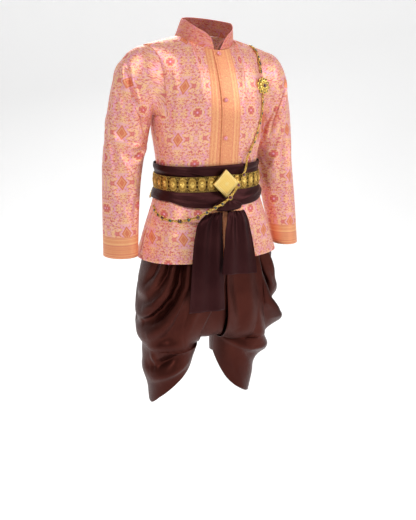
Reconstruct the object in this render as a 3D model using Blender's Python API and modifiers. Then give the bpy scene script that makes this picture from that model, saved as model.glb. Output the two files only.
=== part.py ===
"""Thai formal set as it is worn: stand-collar jacket, draped chong kraben trousers, waist sash,
metal belt with a diamond buckle, and a jewelled body chain with its brooch.

Metres, +Z up. The wearer faces -Y and the wearer's left is +X. The origin is where the shoulders
carry the jacket: the middle of the neck opening, level with the neck ends of the shoulder seams.
"""

from collections import namedtuple

import bpy
import numpy as np

# ---- Driving sizes -------------------------------------------------------------------------------
CLOTH = 0.0015  # wall of the brocade
SATIN = 0.0013  # wall of the sash and trousers
METAL = 0.0018  # wall of the belt
SEAM = 0.0004  # space left between two pieces at a seam
LAP = 0.0026  # how far the left front stands over the right one

HEM_Z = -0.680  # lower edge of the jacket
ARMPIT_Z = -0.225  # level of the underarm
ARMHOLE_X = 0.172  # half the chest between the armholes, at the underarm
SHOULDER = (0.212, 0.005, -0.026)  # the shoulder tip
TILT = 0.011  # the right shoulder and arm are this much higher, and the left ones lower
NECK_HALF, NECK_DEPTH, NECK_Y = 0.092, 0.087, 0.017  # the neck opening's half sizes and its middle
NECK_FRONT_Z, NECK_SIDE_Z, NECK_BACK_Z = -0.031, 0.006, 0.016
COLLAR_FRONT, COLLAR_BACK = 0.040, 0.047  # height of the stand collar
COLLAR_LEAN = (0.012, 0.008, -0.021)  # how much narrower and shallower its top is, and how far forward
WRAP_X = 0.012  # how far the left front passes the centre
UNDERLAP_X = 0.020  # how far the right front passes the centre, below the left one

WAIST_Z = -0.460  # lower edge of the trousers' waistband
WAISTBAND = 0.036  # its height
CROTCH_Z = -0.975
BELT_Z, BELT_HEIGHT, BELT_OFF = -0.435, 0.046, 0.0104
BUCKLE_HALF = 0.045  # half the buckle's diagonal

# ---- Tables --------------------------------------------------------------------------------------
# The jacket's rings: half width, depth before and behind the ring's centre, and that centre's y.
Ring = namedtuple("Ring", "z half front back centre")
JACKET = [
    Ring(-0.680, 0.240, 0.155, 0.150, 0.0),
    Ring(-0.640, 0.227, 0.148, 0.145, 0.0),
    Ring(-0.580, 0.208, 0.140, 0.138, 0.0),
    Ring(-0.500, 0.181, 0.124, 0.120, 0.0),
    Ring(-0.460, 0.168, 0.114, 0.110, 0.0),
    Ring(-0.430, 0.165, 0.112, 0.108, 0.0),
    Ring(-0.360, 0.170, 0.113, 0.110, 0.0),
    Ring(-0.300, 0.178, 0.120, 0.118, 0.0),
    Ring(-0.225, 0.188, 0.127, 0.122, 0.0),
]
RING_POWER = 2.4  # 2 is an ellipse; more is squarer

# The trousers above the crotch: one ring round both hips.
HIPS = [
    Ring(-1.010, 0.230, 0.125, 0.135, 0.005),
    Ring(-0.900, 0.240, 0.138, 0.146, 0.005),
    Ring(-0.800, 0.234, 0.144, 0.150, 0.004),
    Ring(-0.720, 0.225, 0.143, 0.146, 0.002),
    Ring(-0.660, 0.212, 0.137, 0.137, 0.000),
    Ring(-0.600, 0.197, 0.130, 0.130, 0.000),
    Ring(-0.520, 0.175, 0.115, 0.112, 0.000),
    Ring(-0.460, 0.158, 0.102, 0.098, 0.000),
]
# Each trouser leg below the crotch: its centre and its half sizes.
Leg = namedtuple("Leg", "z x y half depth")
LEGS = {
    "right": [
        Leg(-1.210, -0.148, 0.010, 0.058, 0.074),
        Leg(-1.130, -0.148, 0.010, 0.068, 0.086),
        Leg(-1.050, -0.147, 0.008, 0.076, 0.100),
        Leg(-0.975, -0.139, 0.006, 0.092, 0.114),
        Leg(-0.640, -0.112, 0.004, 0.108, 0.120),
    ],
    "left": [
        Leg(-1.210, 0.112, 0.030, 0.060, 0.072),
        Leg(-1.130, 0.116, 0.028, 0.074, 0.084),
        Leg(-1.050, 0.126, 0.024, 0.090, 0.098),
        Leg(-0.975, 0.138, 0.016, 0.104, 0.112),
        Leg(-0.640, 0.118, 0.008, 0.108, 0.120),
    ],
}
# The trousers' hem, round each leg from the inseam (0) by the front and the outside (0.5).
Hem = namedtuple("Hem", "turn z")
HEMS = {
    "right": [Hem(0.0, -1.010), Hem(0.12, -1.048), Hem(0.25, -1.100), Hem(0.38, -1.156),
              Hem(0.5, -1.196), Hem(0.65, -1.165), Hem(0.85, -1.060), Hem(1.0, -1.020)],
    "left": [Hem(0.0, -1.055), Hem(0.12, -1.142), Hem(0.25, -1.190), Hem(0.38, -1.212),
             Hem(0.5, -1.212), Hem(0.65, -1.170), Hem(0.85, -1.080), Hem(1.0, -1.055)],
}
# Swags that hang in a U round the outside of each leg: the height of the U's lowest point, its
# half span as a share of the way round, its rise to the ends, how far the fold stands out, and
# the height over which it swells above and tucks in below.
Swag = namedtuple("Swag", "low span rise out above below")
SWAGS = {
    "right": [
        Swag(-0.790, 0.27, 0.13, 0.006, 0.036, 0.020),
        Swag(-0.870, 0.30, 0.21, 0.009, 0.042, 0.020),
        Swag(-0.950, 0.34, 0.29, 0.010, 0.050, 0.024),
        Swag(-1.070, 0.36, 0.24, 0.009, 0.044, 0.044),
    ],
    "left": [
        Swag(-0.780, 0.26, 0.12, 0.009, 0.036, 0.020),
        Swag(-0.850, 0.29, 0.18, 0.014, 0.040, 0.020),
        Swag(-0.955, 0.32, 0.26, 0.036, 0.052, 0.028),
        Swag(-1.062, 0.34, 0.22, 0.022, 0.036, 0.030),
    ],
}

# A sleeve's rings: the outer and the inner point of each in the XZ plane, its half depth, the y of
# its centre, and how far it is turned, front edge inwards.
Cuff = namedtuple("Cuff", "name outer_x outer_z inner_x inner_z depth y turn")
SLEEVE = [
    Cuff("armhole", 0.2140, -0.0280, 0.1900, -0.2280, 0.060, 0.002, 0),
    Cuff("cap", 0.2390, -0.0360, 0.1930, -0.2350, 0.062, 0.006, 0),
    Cuff("crown", 0.2640, -0.0540, 0.1940, -0.2450, 0.064, 0.011, 0),
    Cuff("shoulder", 0.2885, -0.0900, 0.1945, -0.2600, 0.065, 0.017, 0),
    Cuff("upper_arm", 0.3070, -0.1500, 0.1950, -0.2840, 0.064, 0.026, 0),
    Cuff("above_elbow", 0.3220, -0.2350, 0.1975, -0.3180, 0.063, 0.034, 3),
    Cuff("elbow", 0.3345, -0.3300, 0.2080, -0.3700, 0.062, 0.039, 6),
    Cuff("forearm", 0.3425, -0.4250, 0.2240, -0.4400, 0.061, 0.035, 12),
    Cuff("lower_arm", 0.3490, -0.5450, 0.2420, -0.5500, 0.060, 0.020, 22),
    Cuff("cuff", 0.3515, -0.6740, 0.2615, -0.6700, 0.060, 0.001, 30),
]
# Long soft folds: two ends in (share of the way round, share of the way down), width, depth.
Fold = namedtuple("Fold", "a0 b0 a1 b1 width depth")
SLEEVE_FOLDS = [
    Fold(0.10, 0.10, 0.30, 0.52, 0.045, 0.0050),
    Fold(0.24, 0.22, 0.44, 0.50, 0.040, 0.0060),
    Fold(0.06, 0.42, 0.36, 0.78, 0.050, -0.0045),
    Fold(0.88, 0.20, 0.62, 0.60, 0.050, 0.0050),
    Fold(0.95, 0.55, 0.70, 0.85, 0.050, -0.0040),
]

# The sash: how far each wrap stands off the jacket at a height. Heights are shares of the wrap.
Wrap = namedtuple("Wrap", "share off")
UPPER_WRAP = [Wrap(0.0, 0.0080), Wrap(0.15, 0.0105), Wrap(0.38, 0.0085), Wrap(0.62, 0.0062), Wrap(1.0, 0.0058)]
LOWER_WRAP = [Wrap(0.0, 0.0058), Wrap(0.35, 0.0066), Wrap(0.58, 0.0105), Wrap(0.80, 0.0112), Wrap(1.0, 0.0080)]
UPPER_Z, MIDDLE_Z, LOWER_Z, KNOT_Z = -0.379, -0.437, -0.489, -0.508

# A hanging sash end: the x of both edges and the y of the cloth at each height.
Tail = namedtuple("Tail", "z inner outer y pleat")
TAILS = {
    "long": [
        Tail(-0.522, -0.014, -0.072, -0.1445, 0.0025),
        Tail(-0.545, -0.018, -0.098, -0.1485, 0.0040),
        Tail(-0.590, -0.020, -0.116, -0.1540, 0.0036),
        Tail(-0.650, -0.022, -0.128, -0.1610, 0.0030),
        Tail(-0.740, -0.022, -0.138, -0.1665, 0.0024),
        Tail(-0.836, -0.020, -0.146, -0.1670, 0.0020),
    ],
    "short": [
        Tail(-0.522, 0.002, 0.060, -0.1470, 0.0025),
        Tail(-0.545, -0.004, 0.070, -0.1560, 0.0045),
        Tail(-0.580, -0.014, 0.076, -0.1640, 0.0045),
        Tail(-0.630, -0.022, 0.083, -0.1720, 0.0036),
        Tail(-0.675, -0.029, 0.088, -0.1760, 0.0028),
        Tail(-0.722, -0.034, 0.093, -0.1775, 0.0024),
    ],
}

# The body chain lies on the jacket: places on the front and the back by x and z, and round the
# hips by the turn and z, with how far its middle stands off the cloth.
CHAIN_R = 0.0022
Place = namedtuple("Place", "x z off")
Round = namedtuple("Round", "turn z off")
CHAIN_SHOULDER = [
    Place(0.147, -0.022, 0.004), Place(0.154, -0.038, 0.004), Place(0.155, -0.058, 0.004),
    Place(0.153, -0.082, 0.004), Place(0.154, -0.108, 0.004),
]
CHAIN_CHEST = [
    Place(0.156, -0.172, 0.004), Place(0.154, -0.197, 0.004), Place(0.148, -0.224, 0.004),
    Place(0.141, -0.252, 0.004), Place(0.132, -0.280, 0.004), Place(0.121, -0.307, 0.005),
    Place(0.104, -0.335, 0.005), Place(0.087, -0.357, 0.010), Place(0.079, -0.372, 0.015),
    Place(0.075, -0.391, 0.017), Place(0.065, -0.415, 0.018), Place(0.058, -0.428, 0.019),
]
CHAIN_HIP = [
    Round(0.034, -0.436, 0.021), Round(0.019, -0.454, 0.027), Round(0.002, -0.474, 0.038),
    Round(-0.010, -0.489, 0.041), Round(-0.027, -0.501, 0.041), Round(-0.045, -0.513, 0.040),
    Round(-0.062, -0.525, 0.037), Round(-0.086, -0.537, 0.022), Round(-0.113, -0.545, 0.008),
    Round(-0.142, -0.546, 0.005), Round(-0.173, -0.543, 0.005), Round(-0.205, -0.535, 0.005),
    Round(-0.233, -0.525, 0.005), Round(-0.252, -0.512, 0.005),
]
CHAIN_BACK = [
    Place(-0.168, -0.498, 0.010), Place(-0.142, -0.482, 0.017), Place(-0.110, -0.455, 0.018),
    Place(-0.082, -0.415, 0.018), Place(-0.060, -0.380, 0.014), Place(-0.030, -0.335, 0.006),
    Place(0.012, -0.270, 0.004), Place(0.060, -0.190, 0.004), Place(0.105, -0.110, 0.004),
    Place(0.135, -0.050, 0.004), Place(0.146, -0.024, 0.004),
]
BROOCH = (0.155, -0.140)
BUTTON_LEVELS = {"top": -0.040, "upper": -0.177, "lower": -0.294}
BUTTON_R = 0.0065
BROOCH_R = 0.027


# ---- Reading the tables --------------------------------------------------------------------------
def column(rows, key, name, at):
    """A table's named column at given keys, as a smooth curve through its rows."""
    table = sorted((getattr(r, key), getattr(r, name)) for r in rows)
    x, y = (np.array(v, float) for v in zip(*table))
    at = np.clip(np.asarray(at, float), x[0], x[-1])
    step, rise = np.diff(x), np.diff(y)
    slope = np.gradient(y, x)
    i = np.clip(np.searchsorted(x, at, side="right") - 1, 0, len(x) - 2)
    t = (at - x[i]) / step[i]
    return (
        y[i]
        + rise[i] * t * t * (3 - 2 * t)
        + step[i] * (slope[i] * t * (1 - t) ** 2 - slope[i + 1] * t * t * (1 - t))
    )


def power(value, exponent):
    """A power that keeps the value's sign, for squared-off ellipses."""
    return np.sign(value) * np.abs(value) ** exponent


def step_between(value, low, high):
    """0 below low, 1 above high, and a smooth rise between."""
    t = np.clip((value - low) / (high - low), 0, 1)
    return t * t * (3 - 2 * t)


def ring(rows, turn, z, off=0.0):
    """Points of a body ring: turn is 0 at the centre front, 0.25 at the wearer's left, 0.5 behind."""
    angle = 2 * np.pi * np.asarray(turn, float)
    side, fore = power(np.sin(angle), 2 / RING_POWER), power(np.cos(angle), 2 / RING_POWER)
    front = column(rows, "z", "front", z) + off
    back = column(rows, "z", "back", z) + off
    x = (column(rows, "z", "half", z) + off) * side
    y = column(rows, "z", "centre", z) - np.where(fore > 0, front, back) * fore
    return np.stack(np.broadcast_arrays(x, y, z), axis=-1)


def ridges(folds, around, along):
    """The height of long soft folds at places given by two shares."""
    height = np.zeros(np.broadcast(around, along).shape)
    for fold in folds:
        run, fall = fold.a1 - fold.a0, fold.b1 - fold.b0
        share = ((around - fold.a0) * run + (along - fold.b0) * fall) / (run * run + fall * fall)
        near = np.clip(share, 0, 1)
        gap = np.hypot(around - fold.a0 - run * near, along - fold.b0 - fall * near)
        height += fold.depth * np.exp(-((gap / fold.width) ** 2)) * np.sin(np.pi * (0.1 + 0.8 * near))
    return height


# ---- Making objects ------------------------------------------------------------------------------
def clear_scene():
    """Empties the scene and returns the collection that the set goes in."""
    for obj in list(bpy.data.objects):
        bpy.data.objects.remove(obj)
    collection = bpy.data.collections.new("thai_formal_set")
    bpy.context.scene.collection.children.link(collection)
    return collection


def finish(name, colour, roughness, metallic=0.0):
    """A plain finish: one colour, its roughness, and whether it is metal."""
    material = bpy.data.materials.new(name)
    material.use_nodes = True
    shader = material.node_tree.nodes["Principled BSDF"]
    shader.inputs["Base Color"].default_value = (*colour, 1)
    shader.inputs["Roughness"].default_value = roughness
    shader.inputs["Metallic"].default_value = metallic
    return material


def add(collection, name, data, material):
    """Puts a mesh or curve in the set under its name, in its finish."""
    data.materials.append(material)
    obj = bpy.data.objects.new(name, data)
    collection.objects.link(obj)
    return obj


def wall(collection, name, grid, material, thick, closed=False, keep=None):
    """A cloth wall on a grid of points [row, column], thickened outwards.

    closed joins the last column to the first. keep says which cells of the grid are cloth.
    """
    rows, columns = grid.shape[:2]
    across = columns if closed else columns - 1
    faces = [
        (r * columns + c, r * columns + (c + 1) % columns,
         (r + 1) * columns + (c + 1) % columns, (r + 1) * columns + c)
        for r in range(rows - 1)
        for c in range(across)
        if keep is None or keep[r, c]
    ]
    used = sorted({corner for face in faces for corner in face})
    place = {corner: i for i, corner in enumerate(used)}
    points = grid.reshape(-1, 3)[used]
    mesh = bpy.data.meshes.new(name)
    mesh.from_pydata(points.tolist(), [], [[place[corner] for corner in face] for face in faces])
    mesh.shade_smooth()
    obj = add(collection, name, mesh, material)
    solidify = obj.modifiers.new("wall", "SOLIDIFY")
    solidify.thickness = thick
    solidify.offset = 1
    return obj


# ---- Jacket --------------------------------------------------------------------------------------
NECK_SHARE = NECK_HALF / SHOULDER[0]  # the neck's end of the shoulder seam, as a share of the chest
SKIRT_LEVELS = (HEM_Z, -0.635, -0.580, -0.520, -0.470, -0.430, -0.370, -0.300, ARMPIT_Z)
SIDES = 16  # points round a sleeve
UNDERARM = 6 / SIDES  # the share of the way round an armhole at which the underarm begins
RISES = np.arange(1, 7) / 6  # the rows above the underarm, level with the sleeve's points
NECK_TURNS = np.radians([25, 48, 70, 90])  # columns that end on the neckline
SHOULDER_SHARES = (0.60, 0.76, 0.90, 1.0)
UNDERARM_SHARES = (1.5, 2.0)  # from the armhole's corner, 1, to the side seam, 2


def share_turn(share):
    """The ring's turn at a share of the chest: 0 is the centre and 1 the armhole's corner."""
    side = np.minimum(np.abs(share), 1) * ARMHOLE_X / JACKET[-1].half
    return np.sign(share) * np.arcsin(side ** (RING_POWER / 2)) / (2 * np.pi)


def top_edge(share, back):
    """Where a column of the chest or back ends: on the neckline's ellipse, or on the shoulder seam."""
    x = np.abs(share) * SHOULDER[0]
    inside = np.sqrt(np.clip(1 - (x / NECK_HALF) ** 2, 0, 1))
    beyond = np.clip((x - NECK_HALF) / (SHOULDER[0] - NECK_HALF), 0, 1)
    middle_z, way = (NECK_BACK_Z, 1) if back else (NECK_FRONT_Z, -1)
    y = NECK_Y + way * NECK_DEPTH * inside + (SHOULDER[1] - NECK_Y) * beyond
    z = NECK_SIDE_Z + (middle_z - NECK_SIDE_Z) * inside**1.5 + (SHOULDER[2] - NECK_SIDE_Z) * beyond**1.15
    return x, y, z


def yoke(share, rise, back):
    """A point of the chest, or of the back, above the underarm.

    share is -1 to 1 across the chest; rise is 0 at the underarm and 1 at the neckline or the
    shoulder seam. A column that ends on the neckline leans in evenly; one that ends on the
    shoulder is a quarter of a squared ellipse, level at the seam.
    """
    share, rise = np.broadcast_arrays(np.asarray(share, float), np.asarray(rise, float))
    turn = share_turn(np.abs(share))
    base = ring(JACKET, 0.5 - turn if back else turn, ARMPIT_Z)
    top_x, top_y, top_z = top_edge(share, back)
    ridge = np.clip(np.abs(share) / NECK_SHARE, 0, 1) ** 3
    angle, square = rise * np.pi / 2, 2.5 if back else 2.2
    inward = (1 - ridge) * rise ** (3.0 if back else 1.8) + ridge * (1 - np.cos(angle) ** (2 / square))
    upward = (1 - ridge) * rise + ridge * np.sin(angle) ** (2 / square)
    hollow = 0.006 * np.sin(np.pi * rise) * np.abs(share) ** 4
    x = base[..., 0] + (top_x - base[..., 0]) * rise**2 - hollow
    y = base[..., 1] + (top_y - base[..., 1]) * inward + (1 if back else -1) * SEAM / 2 * rise**4
    z = ARMPIT_Z + (top_z - ARMPIT_Z - TILT * share) * upward
    return np.stack([np.where(share < 0, -x, x), y, z], axis=-1)


def jacket_y(x, z, back=False):
    """The y of the jacket's cloth at an x and a z, above the underarm or below it."""
    share, rise = np.meshgrid(np.linspace(-1, 1, 241), np.linspace(0, 1, 161))
    above = yoke(share, rise, back).reshape(-1, 3)
    turn, level = np.meshgrid(np.linspace(-0.25, 0.25, 241), np.linspace(HEM_Z, ARMPIT_Z, 241))
    below = ring(JACKET, 0.5 - turn if back else turn, level).reshape(-1, 3)
    points = np.concatenate([above, below])
    near = np.exp(-((points[:, 0] - x) ** 2 + (points[:, 2] - z) ** 2) / 0.0025**2)
    return (near * points[:, 1]).sum() / near.sum()


def on_jacket(place, back=False):
    """A place on the jacket, moved out along the cloth's normal."""
    step = 0.004
    x, z = place.x, place.z
    slope_x = (jacket_y(x + step, z, back) - jacket_y(x - step, z, back)) / (2 * step)
    slope_z = (jacket_y(x, z + step, back) - jacket_y(x, z - step, back)) / (2 * step)
    normal = np.array([-slope_x, 1, -slope_z]) * (1 if back else -1)
    normal /= np.linalg.norm(normal)
    return np.array([x, jacket_y(x, z, back), z]) + normal * (CLOTH + place.off)


def panel(shares, back, lap=0.0):
    """A jacket panel's grid, its rows from the hem to the top edge, and which of its cells are cloth.

    Columns up to a share of 1 run up over the chest. Those past it are the underarm's and stop at
    the armpit. lap lifts the cloth off what it covers at the centre.
    """
    past = np.clip(np.abs(shares) - 1, 0, 1)
    side_seam = 0.25 - 0.0001
    turn = share_turn(shares) + np.sign(shares) * past * (side_seam - share_turn(1.0))
    lower = ring(JACKET, 0.5 - turn if back else turn, np.array(SKIRT_LEVELS)[:, None])
    upper = yoke(np.clip(shares, -1, 1), np.array(RISES)[:, None], back)
    grid = np.concatenate([lower, upper])
    grid[..., 1] -= lap * (1 - step_between(grid[..., 0], 0.034, 0.058))
    keep = np.ones((len(grid) - 1, len(shares) - 1), bool)
    middle = (shares[:-1] + shares[1:]) / 2
    keep[len(SKIRT_LEVELS) - 1 :, np.abs(middle) > 1] = False
    return grid, keep


def make_jacket(collection, brocade):
    """The right front, the left front lapped over it, and the back."""
    half = np.concatenate([NECK_SHARE * np.sin(NECK_TURNS), SHOULDER_SHARES, UNDERARM_SHARES])
    for side, way, past_centre, lap in (("right", -1, UNDERLAP_X, 0.0), ("left", 1, WRAP_X, LAP)):
        shares = way * np.concatenate([[-past_centre / ARMHOLE_X, 0.03, 0.125], half])
        grid, keep = panel(shares, back=False, lap=lap)
        if way < 0:
            grid, keep = grid[:, ::-1], keep[:, ::-1]
        wall(collection, f"jacket_front_{side}", grid, brocade, CLOTH, keep=keep)
    shares = np.concatenate([-half[::-1], [0.0], half])
    grid, keep = panel(shares, back=True)
    wall(collection, "jacket_back", grid[:, ::-1], brocade, CLOTH, keep=keep[:, ::-1])


def armhole(around, side):
    """An armhole's edge, once round from the shoulder tip by the front and the underarm.

    side is 1 for the left armhole and -1 for the right one, which is given as its mirror image.
    """
    around = np.asarray(around, float)
    front = around <= 0.5
    way = np.where(front, around, 1 - around)
    rise = np.clip(1 - way / UNDERARM, 0, 1)
    chest = np.where(front[..., None], yoke(side, rise, False), yoke(side, rise, True)) * (side, 1, 1)
    corner = share_turn(1.0)
    turn = corner + (0.25 - corner) * np.clip((way - UNDERARM) / (0.5 - UNDERARM), 0, 1)
    under = ring(JACKET, np.where(front, turn, 0.5 - turn), ARMPIT_Z)
    return np.where((way <= UNDERARM)[..., None], chest, under)


def sleeve_surface(around, down):
    """The left sleeve's surface: around is 0 at the top of the arm and 0.25 in front."""
    key = np.linspace(0, 1, len(SLEEVE))
    row = namedtuple("Row", ("key", *Cuff._fields))
    rows = [row(k, *r) for k, r in zip(key, SLEEVE)]
    outer = np.stack([column(rows, "key", f, down) for f in ("outer_x", "outer_z")], axis=-1)
    inner = np.stack([column(rows, "key", f, down) for f in ("inner_x", "inner_z")], axis=-1)
    turn = np.radians(column(rows, "key", "turn", down))
    depth, y = column(rows, "key", "depth", down), column(rows, "key", "y", down)
    angle = 2 * np.pi * np.asarray(around, float)
    swell = ridges(SLEEVE_FOLDS, around, down)
    size = np.linalg.norm(outer - inner, axis=-1) / 2
    across, fore = (size + swell) * np.cos(angle), (depth + swell) * np.sin(angle)
    across, fore = across * np.cos(turn) - fore * np.sin(turn), across * np.sin(turn) + fore * np.cos(turn)
    middle, lean = (outer + inner) / 2, (outer - inner) / (2 * size[..., None])
    x = middle[..., 0] + lean[..., 0] * across
    z = middle[..., 1] + lean[..., 1] * across
    return np.stack(np.broadcast_arrays(x, y - fore, z), axis=-1)


def make_sleeves(collection, brocade):
    """Both sleeves. Their first ring follows the armhole, and the next ones ease into the arm."""
    around = np.arange(SIDES) / SIDES
    down = np.array([0, 0.09, 0.19, 0.30, 0.40, 0.50, 0.59, 0.68, 0.76, 0.84, 0.92, 1.0])
    for name, side in (("right", -1), ("left", 1)):
        grid = sleeve_surface(around, down[:, None]) - (0, 0, side * TILT)
        edge = armhole(around, side)
        edge[:, 0] += 0.0016 + 0.0022 * step_between(np.minimum(around, 1 - around), 0.28, 0.38)
        grid += np.exp(-((down / 0.055) ** 2))[:, None, None] * (edge - grid[0])
        if side < 0:
            grid = (grid * (-1, 1, 1))[:, ::-1]
        wall(collection, f"sleeve_{name}", grid, brocade, CLOTH, closed=True)


def make_collar(collection, brocade):
    """A stand collar on the neckline's ellipse, leaning forward, open at the throat."""
    rows = []
    narrower, shallower, forward = COLLAR_LEAN
    for share in (0.0, 0.35, 0.7, 1.0):
        throat = 0.018 + 0.030 * share**1.5
        turn = np.linspace(throat, 1 - throat, 29)
        angle = 2 * np.pi * turn
        back = np.cos(angle) < 0
        _, foot_y, foot_z = (
            np.where(back, b, f)
            for b, f in zip(top_edge(NECK_SHARE * np.sin(angle), True), top_edge(NECK_SHARE * np.sin(angle), False))
        )
        near = np.minimum(turn, 1 - turn) - throat
        tall = COLLAR_FRONT + (COLLAR_BACK - COLLAR_FRONT) * step_between(near, 0, 0.3)
        tall = tall - 0.012 * (1 - np.clip(near / 0.05, 0, 1)) ** 2
        x = (NECK_HALF - 0.001 - narrower * share) * np.sin(angle)
        y = foot_y + (forward * share + (shallower * share + 0.001) * np.cos(angle))
        z = foot_z - TILT * NECK_SHARE * np.sin(angle) + 0.0040 + share * tall
        rows.append(np.stack([x, y, z], axis=-1))
    wall(collection, "collar", np.array(rows), brocade, CLOTH)


def move_to(collection, obj, material):
    """Takes an object made by an operator into the set, in its finish."""
    for owner in list(obj.users_collection):
        owner.objects.unlink(obj)
    collection.objects.link(obj)
    obj.data.materials.clear()
    obj.data.materials.append(material)
    obj.data.shade_smooth()


def make_buttons(collection, brocade):
    """Cloth-covered buttons down the left front's edge, each a low dome."""
    for place, z in BUTTON_LEVELS.items():
        y = jacket_y(0.0, z)
        slope = (jacket_y(0.0, z + 0.004) - jacket_y(0.0, z - 0.004)) / 0.008
        bpy.ops.mesh.primitive_uv_sphere_add(segments=12, ring_count=6, radius=BUTTON_R)
        button = bpy.context.object
        button.name = button.data.name = f"button_{place}"
        button.scale.y = 0.55
        button.rotation_euler.x = -np.arctan(slope)
        button.location = (0.002, y - LAP - CLOTH - 0.55 * BUTTON_R - 0.0012, z)
        move_to(collection, button, brocade)


# ---- Trousers ------------------------------------------------------------------------------------
LEG_LEVELS = (WAIST_Z - 0.001, -0.520, -0.580, -0.640, -0.700, -0.755, -0.805, -0.850, -0.890, -0.925,
              -0.952, -0.970, -0.981, -0.985)
LEG_SHARES = (0.22, 0.42, 0.62, 0.81, 1.0)  # of the way from the crotch down to the hem


# How far each leg's front and back edges stand off the centre at the crotch.
GAPS = {"right": (0.080, 0.032), "left": (0.014, 0.032)}


def swag_height(swags, turn, z):
    """How far the swags push the cloth out. Each is a U: low at the outside, steep at its ends."""
    height = np.zeros(np.broadcast(turn, z).shape)
    for swag in swags:
        across = np.clip(np.abs(turn - 0.5) / swag.span, 0, 1)
        line = swag.low + swag.rise * (1 - np.sqrt(1 - across**2))
        above, below = (z - line) / swag.above, (line - z) / swag.below
        swell = np.exp(-np.where(z > line, above, below) ** 2)
        tuck = 0.45 * np.exp(-((below - 1.7) ** 2))
        height += swag.out * (swell - tuck) * (1 - across**3)
    return height


def leg_surface(side, turn, level, share):
    """One leg's surface at a level above the crotch, or a share of the way from there to the hem.

    turn is 0 at the inside front edge, 0.5 at the outside and 1 at the back edge. Above, the cloth
    is half of the hips' ring. Below, it is an oval round the leg, and between the two the edges
    follow the crotch's squared curve from the centre to the inseam.
    """
    way = -1 if side == "right" else 1
    z = level + (column(HEMS[side], "turn", "z", turn) - level) * share
    angle = np.pi * turn
    hips = ring(HIPS, way * turn / 2, z)
    open_front, open_back = GAPS[side]
    widest = np.where(turn < 0.5, open_front, open_back)
    gap = 0.0012 + widest * step_between(-z, 0.72, 0.95)
    hips[..., 0] += way * gap * np.cos(angle) ** 8
    rows = LEGS[side]
    loop_x = column(rows, "z", "x", z) - way * column(rows, "z", "half", z) * np.cos(2 * angle)
    loop_y = column(rows, "z", "y", z) - column(rows, "z", "depth", z) * np.sin(2 * angle)
    loop = np.stack(np.broadcast_arrays(loop_x, loop_y, z), axis=-1)
    fall = np.clip((z + 0.78) / (CROTCH_Z - 0.010 + 0.78), 0, 1)
    closing = 1 - np.clip(1 - fall**3, 0, 1) ** (1 / 3)
    points = hips + (loop - hips) * closing[..., None]
    out = swag_height(SWAGS[side], turn, z)
    points[..., 0] += way * out * np.sin(angle)
    points[..., 1] -= out * np.cos(angle) * 0.8
    return points


def make_trousers(collection, satin):
    """Two draped legs, the roll of cloth that passes between them, and the waistband."""
    turn = np.linspace(0.0006, 0.9994, 17)
    shares = np.concatenate([np.zeros(len(LEG_LEVELS)), LEG_SHARES])[:, None]
    levels = np.concatenate([LEG_LEVELS, [LEG_LEVELS[-1]] * len(LEG_SHARES)])[:, None]
    for side in ("right", "left"):
        grid = leg_surface(side, turn, levels, shares)
        if side == "left":
            grid = grid[::-1]
        wall(collection, f"trousers_{side}", grid, satin, SATIN)

    # The roll: a squared U from the front waist, under the crotch and up the back, within the hips.
    angle = np.linspace(0, np.pi, 25)[:, None]
    upright = np.abs(np.cos(angle)) ** 0.5
    across = np.linspace(-1, 1, 5)
    x = -0.008 - 0.030 * np.where(angle < np.pi / 2, upright, 0) + across * (0.026 + 0.026 * upright)
    z = WAIST_Z - 0.004 + (CROTCH_Z + 0.014 - WAIST_Z) * np.sin(angle) ** 0.45
    bulge = (1 - (np.abs(x) / column(HIPS, "z", "half", z)) ** RING_POWER) ** (1 / RING_POWER)
    front, back, middle = (column(HIPS, "z", name, z) for name in ("front", "back", "centre"))
    reach = np.where(angle < np.pi / 2, 0.008 - front * bulge + middle, back * bulge - 0.008 + middle)
    y = reach * np.abs(np.cos(angle)) ** 0.36
    grid = np.stack(np.broadcast_arrays(x, y, z), axis=-1)
    wall(collection, "trousers_roll", grid[:, ::-1], satin, SATIN)

    turn = np.arange(24) / 24
    levels = np.array([[WAIST_Z + WAISTBAND], [WAIST_Z]])
    grid = ring(HIPS, turn, np.full((2, 1), WAIST_Z))
    grid[..., 2] = levels
    wall(collection, "trousers_waistband", grid[::-1], satin, SATIN, closed=True)


# ---- Sash, belt, chain ---------------------------------------------------------------------------
def make_sash(collection, satin):
    """The two wraps, the knot below the buckle and the two hanging ends."""
    turns = np.arange(32) / 32
    near = np.cos(2 * np.pi * turns)
    drop = LOWER_Z + (KNOT_Z - LOWER_Z) * step_between(near, 0.45, 0.97)
    levels = np.array([0, 0.16, 0.36, 0.62, 1.0])[:, None]
    for name, rows, top, bottom in (
        ("sash_upper", UPPER_WRAP, UPPER_Z, MIDDLE_Z + SEAM),
        ("sash_lower", LOWER_WRAP, MIDDLE_Z - SEAM, drop),
    ):
        z = top + (bottom - top) * levels
        grid = ring(JACKET, turns, z, column(rows, "share", "off", levels))
        wall(collection, name, grid[::-1], satin, SATIN, closed=True)

    bpy.ops.mesh.primitive_uv_sphere_add(segments=14, ring_count=8, radius=1)
    knot = bpy.context.object
    knot.name = knot.data.name = "sash_knot"
    knot.scale = (0.046, 0.0095, 0.0185)
    knot.location = (0, -0.1490, -0.5010)
    move_to(collection, knot, satin)

    for end, rows in TAILS.items():
        z = np.interp(np.linspace(0, 1, 10), np.linspace(0, 1, len(rows)), [r.z for r in rows])[:, None]
        across = np.linspace(0, 1, 9)
        inner, outer = column(rows, "z", "inner", z), column(rows, "z", "outer", z)
        y = column(rows, "z", "y", z) + column(rows, "z", "pleat", z) * np.cos(4 * np.pi * across + 0.6)
        grid = np.stack(np.broadcast_arrays(inner + (outer - inner) * across, y, z), axis=-1)
        if end == "long":
            grid = grid[:, ::-1]
        wall(collection, f"sash_tail_{end}", grid[::-1], satin, 0.0022)


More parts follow.
